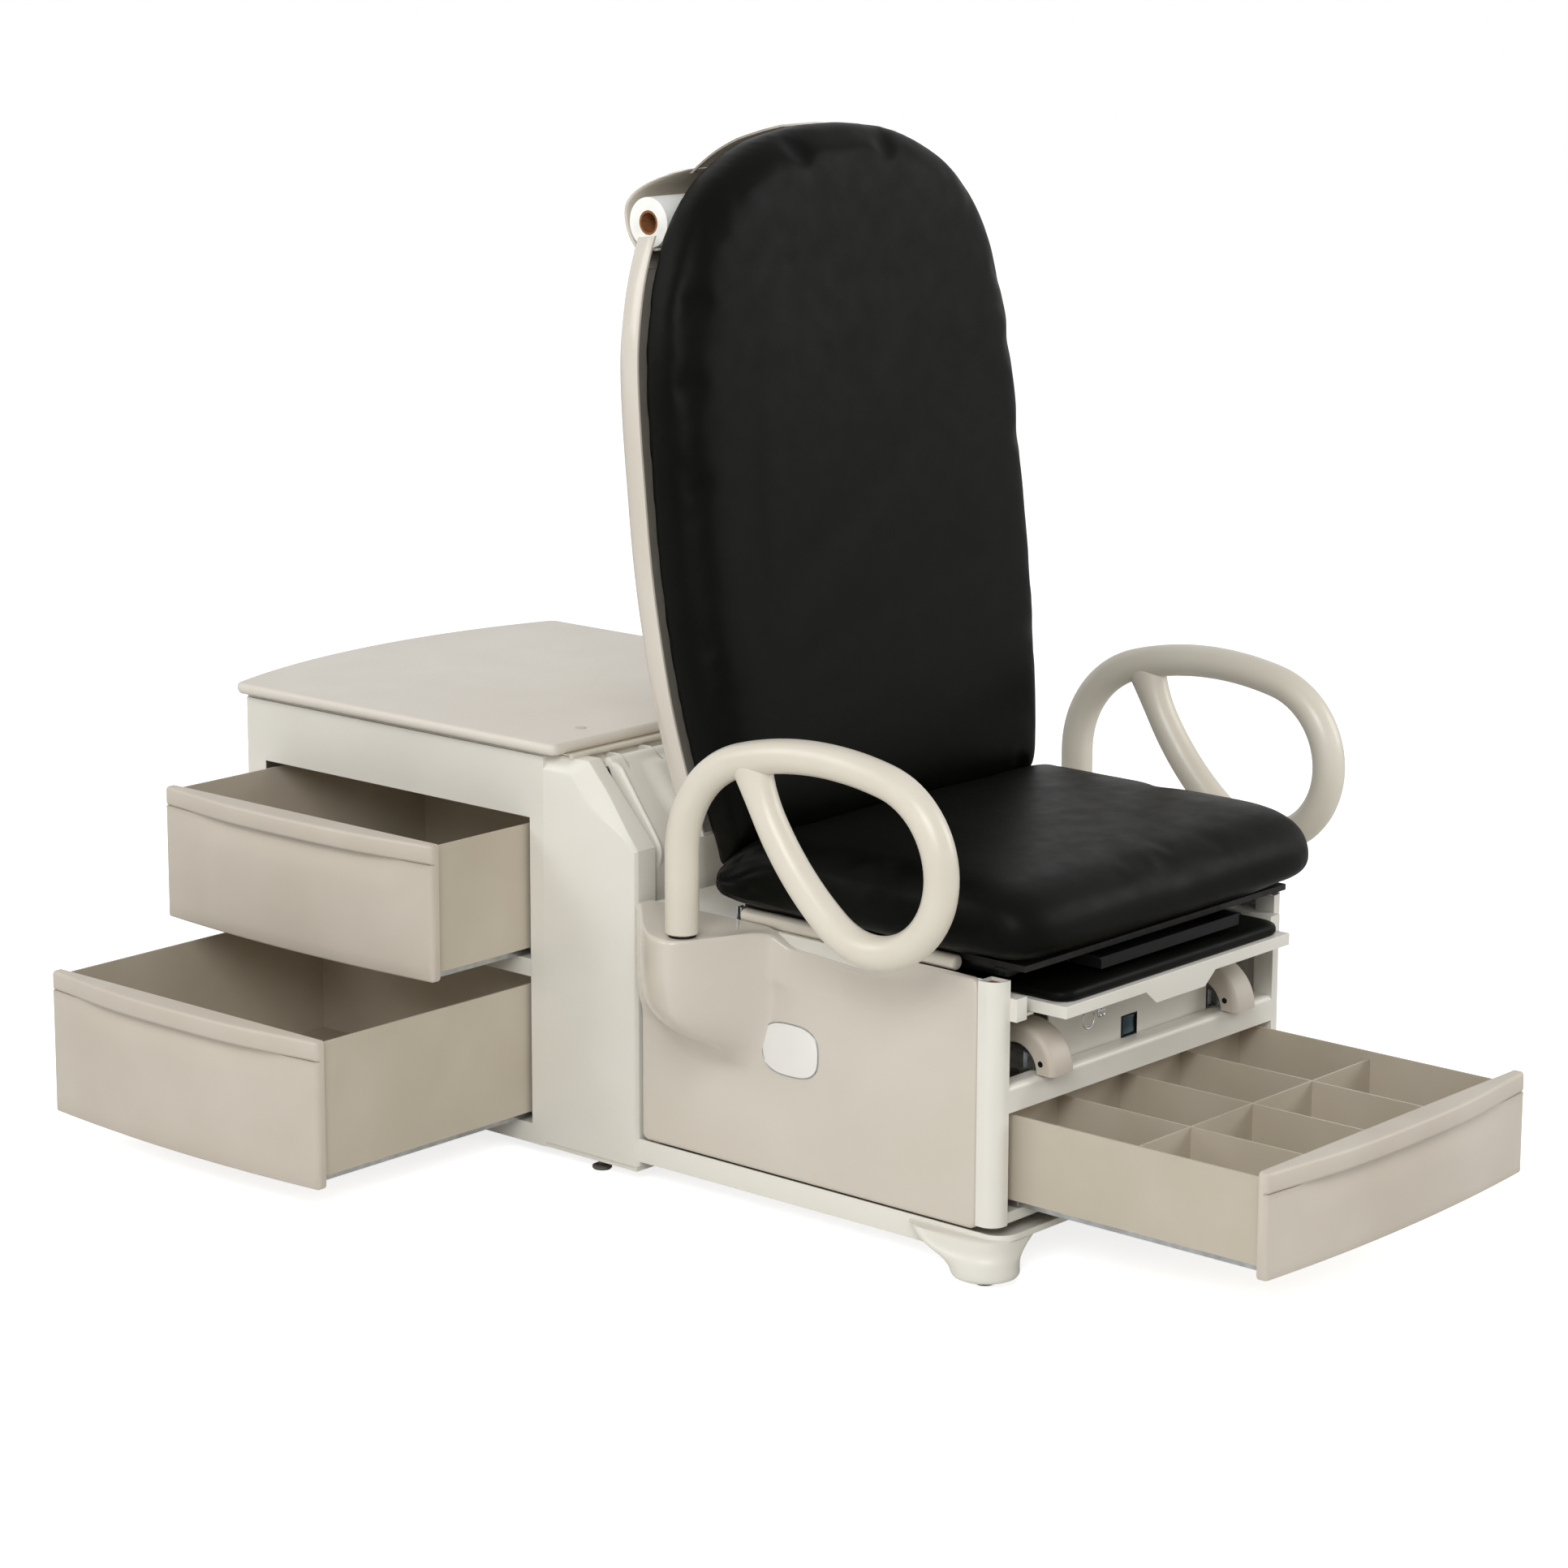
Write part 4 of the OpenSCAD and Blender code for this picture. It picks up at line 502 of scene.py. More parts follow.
def seat_upholstery():
    """Seat with a waterfall front, drawn-in lower edge and a shallow saddle."""
    half = SEAT_HIGH.x - 2
    front = SEAT_MID - SEAT_LOW.y - 3
    rear = HINGE.y - 1 - SEAT_MID
    crown = SEAT_HIGH.z - 2
    base = SEAT_LOW.z
    # share of the height, share of the half width, front drawn in, rear drawn in
    layers = ((0, 0.94, 0.07, 0.05), (0.05, 0.972, 0.04, 0.02), (0.11, 0.992, 0.015, 0.005), (0.2, 1, 0, 0),
              (0.3, 1, 0, 0), (0.44, 0.998, 0.006, 0.03), (0.53, 0.994, 0.018, 0.065),
              (0.64, 0.985, 0.042, 0.11), (0.74, 0.97, 0.08, 0.15), (0.83, 0.943, 0.135, 0.195),
              (0.9, 0.9, 0.21, 0.24), (0.95, 0.82, 0.32, 0.31), (0.98, 0.68, 0.48, 0.45), (1, 0.42, 0.7, 0.7))
    rings = [seat_ring(half * w, front * (1 - f), rear * (1 - r), base + share * (crown - base))
             for share, w, f, r in layers]
    piece = make_piece("seat_upholstery", skin(rings), None, "vinyl", replaces=("seat_cushion",))
    upholster(piece)
    fit(piece, Vector((-half, SEAT_MID - front, base)), Vector((half, SEAT_MID + rear, crown)))
    refine(piece)
    shape_points(piece, seat_gathers)
    settle(piece, base)
    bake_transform(piece)


def seat_gathers(p):
    """Folds that fan out from where the seat meets the back, on either side."""
    corner = Vector((HINGE.y, SEAT_LOW.z + 34))
    reach = Vector((p.y, p.z)) - corner
    near_side = smooth((abs(p.x) - SEAT_HIGH.x * 0.72) / 60)
    strength = near_side * smooth((170 - reach.length) / 130) * smooth(reach.length / 24)
    turn = math.atan2(reach.y, -reach.x)
    fold = math.sin(turn * 13 + 1.3 * math.sin(reach.length / 23)) + 0.5 * math.sin(turn * 29 + 2)
    return (math.copysign(3 * strength * fold, p.x), 0, 1.2 * strength * fold)


def settle(piece, floor):
    """Keeps a cushion flat on what it rests on."""
    for v in piece.data.vertices:
        v.co.z = max(v.co.z, floor * MM)


def on_back(x, n, s):
    """Point of the back: x across, n to its rear, s along it from the hinge."""
    c, d = math.cos(BACK_LEAN), math.sin(BACK_LEAN)
    return Vector((x, HINGE.y + n * c + s * d, HINGE.z - n * d + s * c))


BACK_LENGTH = 964
BACK_HALF = 360
BACK_THICK = 76
LUMBAR = 8
SHELL_N = 5.3
# share of the length above the hinge, half width as a share of the widest
BACK_WIDTHS = ((0.0, 0.845), (0.06, 0.885), (0.114, 0.92), (0.23, 0.97), (0.35, 0.994), (0.43, 1),
               (0.52, 0.996), (0.62, 0.99), (0.70, 0.975), (0.756, 0.945), (0.815, 0.895),
               (0.873, 0.815), (0.925, 0.69), (0.962, 0.53), (0.985, 0.36), (0.996, 0.19))


def lumbar_at(s):
    """How far the back stands to its rear at s, in a shallow S along its length."""
    return LUMBAR * math.sin(math.radians(215 * s / BACK_LENGTH))


def back_outline(low, steps=64):
    """Outline of the back as (x, s), counterclockwise from its lower right corner."""
    right = []
    for k in range(steps + 1):
        # closer points towards the round top
        share = low / BACK_LENGTH + (1 - low / BACK_LENGTH) * math.sin(math.pi / 2 * k / steps)
        if share < BACK_WIDTHS[-1][0]:
            right.append((BACK_HALF * along(BACK_WIDTHS, share), BACK_LENGTH * share))
    right.append((BACK_HALF * 0.1, BACK_LENGTH * 0.9995))
    left = [(-x, s) for x, s in reversed(right)]
    edge = right[0][0]
    base = [(x * edge / 6, low) for x in range(-5, 6)]
    return right + left + base


def back_ring(inset, n, low, share=0.0, tuck=0.0, spine=(250, 640)):
    """Ring of the back at n behind the hinge, drawn in towards its middle line, by tuck more at its top."""
    ring = []
    for x, s in back_outline(low):
        heart = Vector((0, min(max(s, spine[0]), spine[1])))
        p = Vector((x, s))
        p += (heart - p).normalized() * (inset + tuck * smooth((s - 850) / 60))
        p += (heart - p) * share
        ring.append(on_back(p.x, n + lumbar_at(p.y), p.y))
    return ring


def back_upholstery():
    """Back cushion with full round edges."""
    # share of the thickness from the rear face, drawn in
    layers = ((0, 12), (0.03, 6), (0.1, 3), (0.25, 1), (0.42, 0), (0.56, 0.5), (0.68, 3), (0.78, 8),
              (0.86, 16), (0.92, 28), (0.96, 46), (0.985, 75), (1, 130))
    thick = BACK_THICK - 1
    # the lower end follows the crease with the seat
    rings = [back_ring(inset, 5 - share * thick, 0.74 * (share * thick - 5) - 5 + inset * 0.3)
             for share, inset in layers]
    piece = make_piece("back_upholstery", skin(rings), None, "vinyl", replaces=("back_cushion",))
    upholster(piece)
    refine(piece)
    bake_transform(piece)


def foot_cushion():
    """Thin pad on the foot tray."""
    low, high = mm_box("foot_pad")
    mid = (low + high) / 2
    reach = high - mid
    rings = []
    for share, inset in ((0, 5), (0.1, 1.5), (0.4, 0), (0.7, 1.5), (0.88, 6), (0.97, 14), (1, 40)):
        half = Vector((reach.x - inset, reach.y - inset))
        corner = max(4, 26 - inset / 2)
        z = low.z + share * (high.z - low.z)
        ring = []
        for sx, sy, start in ((1, 1, 0), (-1, 1, 90), (-1, -1, 180), (1, -1, 270)):
            centre = Vector((mid.x + sx * (half.x - corner), mid.y + sy * (half.y - corner)))
            ring += [(centre.x + corner * math.cos(w), centre.y + corner * math.sin(w), z)
                     for w in arc(start, start + 90, 8)]
        rings.append(ring)
    piece = make_piece("foot_cushion", skin(rings), "foot_rest", "vinyl", replaces=("foot_pad",))
    remesh(piece, 4)
    relax(piece, 2)
    settle(piece, low.z)


# Back shell and hood

SHELL_DEPTH = 44
SHELL_LOW = 46
SHELL_WALL = 3
# drawn in, depth behind the cushion
SHELL_SECTION = ((7, 0), (6.2, 3), (6, 9), (6.6, 18), (8.6, 27), (12.5, 35), (18, 40.5), (26, 43.2),
                 (36, 44), (60, 44))
# axis of the paper roll in the frame of the back
ROLL_S = 846
ROLL_N = 39


def slab(x, n, s):
    """Closed block in the frame of the back, as a bmesh."""
    return skin([[on_back(x[i], n[j], height) for i, j in ((0, 0), (1, 0), (1, 1), (0, 1))] for height in s])


def back_shell():
    """Moulded shell behind the back, with a full round edge and a pocket for the roll."""
    def ring(inset, n, low, share=0.0):
        return back_ring(inset, SHELL_N + n, low, share, tuck=0.8 * n)

    outer = [ring(60, SHELL_DEPTH, SHELL_LOW + 6, share) for share in (1, 0.75, 0.45, 0.18)]
    outer += [ring(inset, n, SHELL_LOW + inset * 0.1) for inset, n in reversed(SHELL_SECTION)]
    inner = [ring(inset + SHELL_WALL, max(0, n - SHELL_WALL), SHELL_LOW + SHELL_WALL + inset * 0.1)
             for inset, n in SHELL_SECTION if n != 3]
    inner += [ring(60 + SHELL_WALL, SHELL_DEPTH - SHELL_WALL, SHELL_LOW + SHELL_WALL + 6, share)
              for share in (0.18, 0.45, 0.75, 1)]
    bm = skin(outer + inner, caps=False)
    bmesh.ops.remove_doubles(bm, verts=bm.verts, dist=0.01)
    bmesh.ops.dissolve_degenerate(bm, edges=bm.edges, dist=0.01)
    piece = make_piece("shell_moulding", bm, "back", "shroud_plastic", replaces=("back_shell",))
    roll_r = 33
    bed = ROLL_S - roll_r - 0.3
    pocket = slab((-286, 286), (-30, 120), (bed - 1.5, ROLL_S + 58))
    side_opening = slab((-400, 400), (-31, 121), (bed + 16, ROLL_S + 57.5))
    notches = [slab(sorted((side * 93.5, side * 104.5)), (-4, 36), (20, 78)) for side in (-1, 1)]
    carve(piece, [pocket, side_opening] + notches)
    ledge = slab((-290, 290), (SHELL_N + 1, SHELL_N + SHELL_DEPTH - 2), (bed - SHELL_WALL, bed))
    make_piece("roll_ledge", ledge, "back", "shroud_plastic")


# middle line of the hood as (behind, above) the axis of the roll, from the shell up to the cushion
HOOD_CURVE = ((9.6, -60), (12.6, -49), (20, -38.5), (29.5, -27.5), (36.8, -13), (40.2, 2), (39.8, 17),
              (35, 31), (25, 43.5), (9, 53.5), (-11, 61), (-32, 65.5))


def hood_at(t):
    """Point and outward direction of the hood curve at t, from 0 to 1."""
    steps = len(HOOD_CURVE) - 1
    across = [(k / steps, p[0]) for k, p in enumerate(HOOD_CURVE)]
    upward = [(k / steps, p[1]) for k, p in enumerate(HOOD_CURVE)]
    here = Vector((along(across, t), along(upward, t)))
    a = Vector((along(across, max(0, t - 0.01)), along(upward, max(0, t - 0.01))))
    b = Vector((along(across, min(1, t + 0.01)), along(upward, min(1, t + 0.01))))
    d = (b - a).normalized()
    return here, Vector((d.y, -d.x))


def hood():
    """Visor over the paper roll: open at both ends, with round upper corners."""
    half = mm_box("paper_roll")[1].x + 2
    wall = 4.5
    rows, columns = 40, 80
    scan = [k / 200 for k in range(201)]
    heights = [hood_at(t)[0].y for t in scan]
    rings = []
    for i in range(columns + 1):
        share = 2 * i / columns - 1
        share = math.copysign(1 - (1 - abs(share)) ** 1.6, share)
        x = half * share
        end = half - abs(x)
        thin = wall / 2 * (1 - math.sqrt(max(0, 1 - (1 - min(1, end / 1.7)) ** 2)))
        over = max(0, (abs(share) - 0.68) / 0.32)
        limit = 24 + 46 * math.sqrt(max(0, 1 - over ** 2))
        last = max(t for t, height in zip(scan, heights) if height <= limit)
        outer, inner = [], []
        for j in range(rows + 1):
            here, out = hood_at(last * j / rows)
            slim = thin + wall / 2 * max(0, 1 - (rows - j) / 1.5) * 0.7
            outer.append(here - out * slim)
            inner.append(here - out * (wall - slim))
        rings.append([on_back(x, ROLL_N + p.x, ROLL_S + p.y) for p in outer + inner[::-1]])
    make_piece("roll_hood", skin(rings), "back", "shroud_plastic", 50)


# Arms

# radius in millimetres and turn in degrees of each bend of the arm, from the post round the loop
ARM_TURNS = ((141, 73), (461, 30), (113, 84), (107, 120), (400, 34.5))
ARM_RADIUS = 22
ARM_X = 413
BOSS_Y = -264.6


def arm_line(first, last, step=9):
    """Points (y, z, radius) along the middle of the arm tube through turns first to last."""
    heading = 90
    mid = Vector((BOSS_Y - ARM_TURNS[0][0], mm_box("arm_left")[0].z + 106))
    stops = []
    for k, (r, turn) in enumerate(ARM_TURNS):
        if k:
            w = math.radians(heading)
            mid = mid + (ARM_TURNS[k - 1][0] - r) * Vector((math.sin(w), -math.cos(w)))
        if first <= k <= last:
            count = max(2, round(math.radians(turn) * r / step))
            for i in range(count + (k == last)):
                share = i / count
                w = math.radians(heading - 90 + turn * share)
                thin = 2 * share if k == len(ARM_TURNS) - 1 else 0
                stops.append((mid.x + r * math.cos(w), mid.y + r * math.sin(w), ARM_RADIUS - thin, w))
        heading += turn
    return stops


def arm(side, name):
    """Looped arm: the post, the loop and the brace that runs back up to it."""
    x = side * ARM_X
    low = mm_box("arm_" + name)[0]
    bm = bmesh.new()

    def tube(stops, flare=0):
        rings = []
        for k, (y, z, r, w) in enumerate(stops):
            out = Vector((0, math.cos(w), math.sin(w)))
            wide = r + flare * max(0, (k / (len(stops) - 1) - 0.66) / 0.34) ** 2
            rings.append([Vector((x, y, z)) + wide * math.cos(a) * out + r * math.sin(a) * Vector((1, 0, 0))
                          for a in circle(32)])
        return rings

    loop = arm_line(0, 3)
    y0, z0, r0 = loop[0][:3]
    foot = [(y0, low.z, r0 - 1.2, 0), (y0, low.z + 1.2, r0, 0)]
    post = [(y0, low.z + 2 + k * (z0 - low.z - 2) / 8, r0, 0) for k in range(8)]
    add_skin(bm, tube(foot + post + loop))
    add_skin(bm, tube(arm_line(4, 4), 13))
    make_piece("arm_loop_" + name, bm, name + "_arm", "arm_coat", 60, ("arm_" + name,))


# Shrouds

SHROUD_BASE = 302
SHROUD_SHEET = 9
SHROUD_Y = (-667, -96)
SHROUD_Z = (67.5, 397)
BOSS_OUT = 145
# share of the way from rear to front, height of the top edge
TOP_EDGE = ((0, 397), (0.2, 397.5), (0.375, 397), (0.4, 394.5), (0.425, 387), (0.45, 378.5),
            (0.475, 375.5), (0.52, 374), (0.66, 369), (0.7, 371), (0.73, 377), (0.76, 385), (0.79, 391),
            (0.83, 394), (1, 393))
# share of the way from rear to front, height of the fold where the hollow starts
FOLD = ((0, 330), (0.2, 322), (0.35, 330), (0.5, 318), (0.65, 312), (0.8, 322), (0.9, 350), (1, 372))
# lowest point of the boss, and its height to the top of the shroud
BOSS_FOOT = 188
BOSS_TALL = 209
# share of the height above the foot of the boss, share of the reach outward, half width in front, behind
BOSS_RISE = ((0, 0, 36, 60), (0.08, 0.03, 42, 95), (0.2, 0.22, 50, 140), (0.34, 0.6, 58, 184),
             (0.48, 0.87, 64, 192), (0.65, 0.97, 68, 192), (0.8, 1, 70, 192), (1, 1, 70, 192))


def shroud_reach(y, z):
    """How far out the face of a shroud stands at (y, z)."""
    share = (SHROUD_Y[1] - y) / (SHROUD_Y[1] - SHROUD_Y[0])
    rise = (z - BOSS_FOOT) / BOSS_TALL
    boss = 0
    if rise > 0:
        deep = along([(r[0], r[1]) for r in BOSS_RISE], rise)
        wide = along([(r[0], r[2 if y < BOSS_Y else 3]) for r in BOSS_RISE], rise)
        u = min(1, abs(y - BOSS_Y) / wide)
        power = 0.72 if y < BOSS_Y else 0.8
        boss = (BOSS_OUT - SHROUD_SHEET) * deep * (0.5 + 0.5 * math.cos(math.pi * u)) ** power
    start = along(FOLD, share)
    above = max(0, z - start)
    lean = min(8, 0.16 * above * smooth(above / 14))
    lean *= smooth((share - 0.41) / 0.08) * smooth((0.985 - share) / 0.07)
    shoulder = 6 * smooth((z - start + 10) / 20) * smooth((0.5 - share) / 0.12) * smooth(share / 0.2)
    return SHROUD_BASE + SHROUD_SHEET - lean + math.hypot(shoulder, boss)


def rounding(distance, radius):
    """How far a full round edge has fallen away at a distance from the edge."""
    return radius - math.sqrt(max(0, radius ** 2 - (radius - min(radius, distance)) ** 2))


def shroud(side, name):
    """Side shroud: a moulding with the arm boss, a hollow above the badge and a notch in its top."""
    rows, columns, roll, corner = 84, 190, 6, 12
    rings = []
    for i in range(columns + 1):
        # closer stations at either end, for the rolled edge
        share = i / columns - 0.02 * math.sin(2 * math.pi * i / columns)
        share = share - 0.08 * math.sin(2 * math.pi * share) / (2 * math.pi)
        y = SHROUD_Y[1] + share * (SHROUD_Y[0] - SHROUD_Y[1])
        edge = min(share, 1 - share) * (SHROUD_Y[1] - SHROUD_Y[0])
        tuck = rounding(edge, roll)
        lift = rounding(edge, corner)
        top = along(TOP_EDGE, share) - lift
        low = SHROUD_Z[0] + lift
        ring = [(side * SHROUD_BASE, y, low)]
        for k in range(rows + 1):
            # closer rows at the foot and at the top
            z = low + (top - low) * (0.5 - 0.5 * math.cos(math.pi * k / rows)) ** 0.9
            turn = rounding(min(z - low, top - z), roll)
            ring.append((side * max(SHROUD_BASE + 0.5, shroud_reach(y, z) - tuck - turn), y, z))
        last = abs(ring[-1][0])
        for k in range(1, 9):
            ring.append((side * (SHROUD_BASE + (last - SHROUD_BASE) * (1 - k / 8)), y, top))
        rings.append(ring)
    make_piece("shroud_moulding_" + name, skin(rings), "lift", "shroud_plastic", 50, ("shroud_" + name,))


def badge(side, name, replaces):
    """Blank domed badge in a thin metal rim."""
    low, high = mm_box("side_badges")
    mid_y, mid_z = (low.y + high.y) / 2, (low.z + high.z) / 2
    half_y, half_z = 48, 35.5

    def outline(inset, out):
        return [(side * out, mid_y + (half_y - inset) * r * c, mid_z + (half_z - inset) * r * d)
                for r, c, d in squircle(72, 2.9)]

    face = high.x
    plate = [(1.2, face - 2.4), (1.2, face - 0.5), (1.7, face - 0.15), (2.6, face), (12, face + 0.3),
             (24, face + 0.45)]
    make_piece("badge_plate_" + name, skin([outline(i, out) for i, out in plate]), "lift", "badge", 60)
    rim = [(0, face - 2.4), (0, face - 0.5), (0.5, face + 0.1), (1, face + 0.1), (1.4, face - 0.4),
           (1.4, face - 2.4)]
    rings = [outline(i, out) for i, out in rim]
    make_piece("badge_rim_" + name, skin(rings + rings[:1], caps=False), "lift", "column_steel", 60,
               replaces)


# Stirrups, switch and small parts of the front

# Place of the pin of a heel cup in (y, z)
CUP_PIVOT = (-697, 270)


def heel_cup(side, name):
    """Heel cup: a thick arch with rounded outer edges, slotted for its arm and bored for its pin."""
    low, high = mm_box("heel_cup_" + name)
    mid_x, half = (low.x + high.x) / 2, (high.x - low.x) / 2
    radius = high.z - low.z
    centre_y = low.y + radius
    wall = 27
    # across, drawn in from the outer radius
    section = [(-half, wall - 1.5), (-half, 9)]
    section += [(-half + 8 * (1 - math.cos(w)), 8 * (1 - math.sin(w))) for w in arc(15, 90, 5)]
    section += [(-x, r) for x, r in reversed(section)]
    section += [(half - 1.5, wall), (-half + 1.5, wall)]
    rings = []
    for w in arc(180, 40, 56):
        rings.append([(mid_x + x, centre_y + (radius - r) * math.cos(w), low.z + (radius - r) * math.sin(w))
                      for x, r in section])
    piece = make_piece("cup_moulding_" + name, skin(rings), name + "_cup", "drawer_fronts", 45,
                       ("heel_cup_" + name,))
    pivot_y, pivot_z = CUP_PIVOT
    cuts = [block((low.x - 5, high.y, low.z - 5), (high.x + 5, high.y + 80, high.z + 5)),
            block((mid_x - 4.3, pivot_y - 10, low.z - 2), (mid_x + 4.3, centre_y, pivot_z + 10)),
            rod((low.x - 2, pivot_y, pivot_z), (high.x + 2, pivot_y, pivot_z), 4.06)]
    carve(piece, cuts, 45)
    plugs = bmesh.new()
    for x in (low.x + 0.2, high.x - 1.8):
        add_tube(plugs, ((x, pivot_y, pivot_z), (x + 1.6, pivot_y, pivot_z)), 4, 24)
    make_piece("cup_plugs_" + name, plugs, name + "_cup", "black_plastic", 45)


def add_frame(bm, x, z, y, hole_x, hole_z):
    """Adds a flat plate across y with a rectangular hole to a bmesh."""
    def corners(x, z, depth):
        return [(x[0], depth, z[0]), (x[1], depth, z[0]), (x[1], depth, z[1]), (x[0], depth, z[1])]

    rings = [corners(x, z, y[0]), corners(x, z, y[1])]
    rings += [corners(hole_x, hole_z, y[1]), corners(hole_x, hole_z, y[0])]
    add_skin(bm, rings + rings[:1], caps=False)
    bmesh.ops.remove_doubles(bm, verts=bm.verts, dist=WELD)


# Drawers

def drawer_front(name, node, body, facing):
    """Bowed drawer front with a finger ledge; facing is the way it faces, -x or -y."""
    low, high = mm_box(node)
    if facing == "x":
        width, depth = high.y - low.y, high.x - low.x
        place = lambda u, d, z: (high.x - d, (low.y + high.y) / 2 - u, z)
    else:
        width, depth = high.x - low.x, high.y - low.y
        place = lambda u, d, z: ((low.x + high.x) / 2 + u, high.y - d, z)
    height = high.z - low.z
    ledge, bow = 28, 14
    out = 8
    thick = depth - bow - out
    radius = width ** 2 / (8 * bow) + bow / 2
    rings = []
    columns = 90
    for i in range(columns + 1):
        share = -math.cos(math.pi * i / columns)
        share = 0.55 * share + 0.45 * (2 * i / columns - 1)
        u = share * width / 2
        crest = math.sqrt(radius ** 2 - u ** 2) - radius + bow
        end = width / 2 - abs(u)
        tuck = 4 * (1 - math.sqrt(max(0, 1 - (1 - min(1, end / 4)) ** 2)))
        reach = 0.8 * smooth((end - 10) / (0.3 * width))
        face = thick + crest - tuck
        bottom = tuck
        top = height - tuck * 0.6
        lip = out * reach
        scoop = 6 * smooth((end - 12) / (0.2 * width))
        section = [(0, bottom), (face - 3, bottom), (face - 0.9, bottom + 0.9)]
        section += [(face, bottom + 3 + (height - ledge - 40 - 3 - bottom) * k / 6) for k in range(7)]
        section += [(face - scoop * 0.15, height - ledge - 30), (face - scoop * 0.55, height - ledge - 18),
                    (face - scoop * 0.9, height - ledge - 8), (face - scoop, height - ledge - 2),
                    (face - scoop + 0.8, height - ledge + 0.6), (face + lip - 4, height - ledge + 1.2),
                    (face + lip - 1.2, height - ledge + 2.4), (face + lip, height - ledge + 5.5),
                    (face + lip, height - 5), (face + lip - 0.5, height - 2.8),
                    (face + lip - 1.7, height - 1.2), (face + lip - 3, min(top, height - 0.4)),
                    (face + lip - 5, top), (0, top)]
        rings.append([place(u, d, low.z + z) for d, z in section])
    make_piece(name, skin(rings), body, "drawer_fronts", 50, (node,))


# Worktop, wings and cover

def worktop():
    """Worktop with a full round edge and a bowed rear."""
    low, high = mm_box("worktop_lid")
    half, front = high.x, low.y
    rear_corner, bow = 680, 58
    corner = 13
    outline = []
    for x, start in ((-half + corner, 180), (half - corner, 270)):
        outline += [(x + corner * math.cos(w), front + corner + corner * math.sin(w))
                    for w in arc(start, start + 90, 8)]
    radius = half ** 2 / (2 * bow) + bow / 2
    centre = rear_corner + bow - radius
    limit = math.asin(half / radius)
    start = math.sqrt(radius ** 2 - half ** 2) + centre
    near = 9
    outline += [(half - near + near * math.cos(w), start - near + near * math.sin(w))
                for w in arc(0, 45, 4)]
    for k in range(61):
        w = limit * 0.98 * (1 - 2 * k / 60)
        outline.append((radius * math.sin(w), centre + radius * math.cos(w)))
    outline += [(near - half + near * math.cos(w), start - near + near * math.sin(w))
                for w in arc(135, 180, 4)]
    middle = Vector((0, (front + rear_corner) / 2))
    round_r = (high.z - low.z) / 2
    rings = []
    for w in arc(-90, 90, 12):
        inset = round_r * 0.75 * (1 - math.cos(w))
        z = (low.z + high.z) / 2 + round_r * math.sin(w)
        ring = []
        for i, p in enumerate(outline):
            a, b = outline[i - 1], outline[(i + 1) % len(outline)]
            t = Vector((b[0] - a[0], b[1] - a[1])).normalized()
            ring.append((p[0] - t.y * inset, p[1] + t.x * inset, z))
        rings.append(ring)
    make_piece("worktop_slab", skin(rings), "lid", "worktop", 35, ("worktop_lid",))


def wing(side, name, replaces):
    """Wing panel: rounded front edge, and a facet along its sloping edge that widens to the top."""
    low, high = mm_box("wing_panels")
    front, back, half = low.y, high.y, high.x
    inner = half - 38
    knee, top_y = 460, 13
    slope = Vector((top_y - front, high.z - knee)).normalized()
    inward = Vector((slope.y, -slope.x))
    steps = 18
    rim, face = [], []
    for k in range(steps + 1):
        share = k / steps
        p = Vector((front + share * (top_y - front), knee + share * (high.z - knee)))
        rim.append(p)
        face.append(p + (3 + 25 * smooth(share * 1.3)) * inward)
    rim = [Vector((front, low.z))] + rim + [Vector((back, high.z)), Vector((back, low.z))]
    face = [Vector((front + 4, low.z))] + face + [Vector((back, high.z - 20)), Vector((back, low.z))]
    rings = []
    for x, share in ((inner, 0), (half - 17, 0), (half - 15.2, 0.02), (half - 14, 0.06), (half - 7.5, 0.48),
                     (half - 2.2, 0.84), (half - 0.9, 0.95), (half, 1.08)):
        ring = []
        for k, (r, f) in enumerate(zip(rim, face)):
            narrow = 1 - min(1, (f - r).length / 28)
            # where the facet is narrow its edge lies further out
            out = x + (half - 4 * (1 - share) - x) * narrow if share else max(x, inner)
            if not share and x > inner:
                out = x + (half - 4 - x) * narrow
            p = r + (f - r) * share
            ring.append((side * out, p.x, p.y))
        rings.append(ring)
    make_piece("wing_" + name, skin(rings), "base", "cabinet_enamel", 28, replaces)


COVER_HALF = 262
# drop from the top of the wings and reach forward, along the middle of the cover: trough lip, slope, upright
COVER_PATH = ((24, 548), (20, 560.5), (16, 564), (10, 564.5), (5, 561), (-36, 506), (-66, 466), (-74, 452),
              (-76.5, 438), (-77, 300), (-77, 48))
# share of the way down the slope, height of the swelling: it stays clear of the reclined back
SWELL = ((0, 0), (0.06, 0), (0.14, 6.5), (0.3, 11), (0.6, 17), (0.85, 17), (1.05, 14), (1.5, 9), (2.2, 0),
         (3, 0))


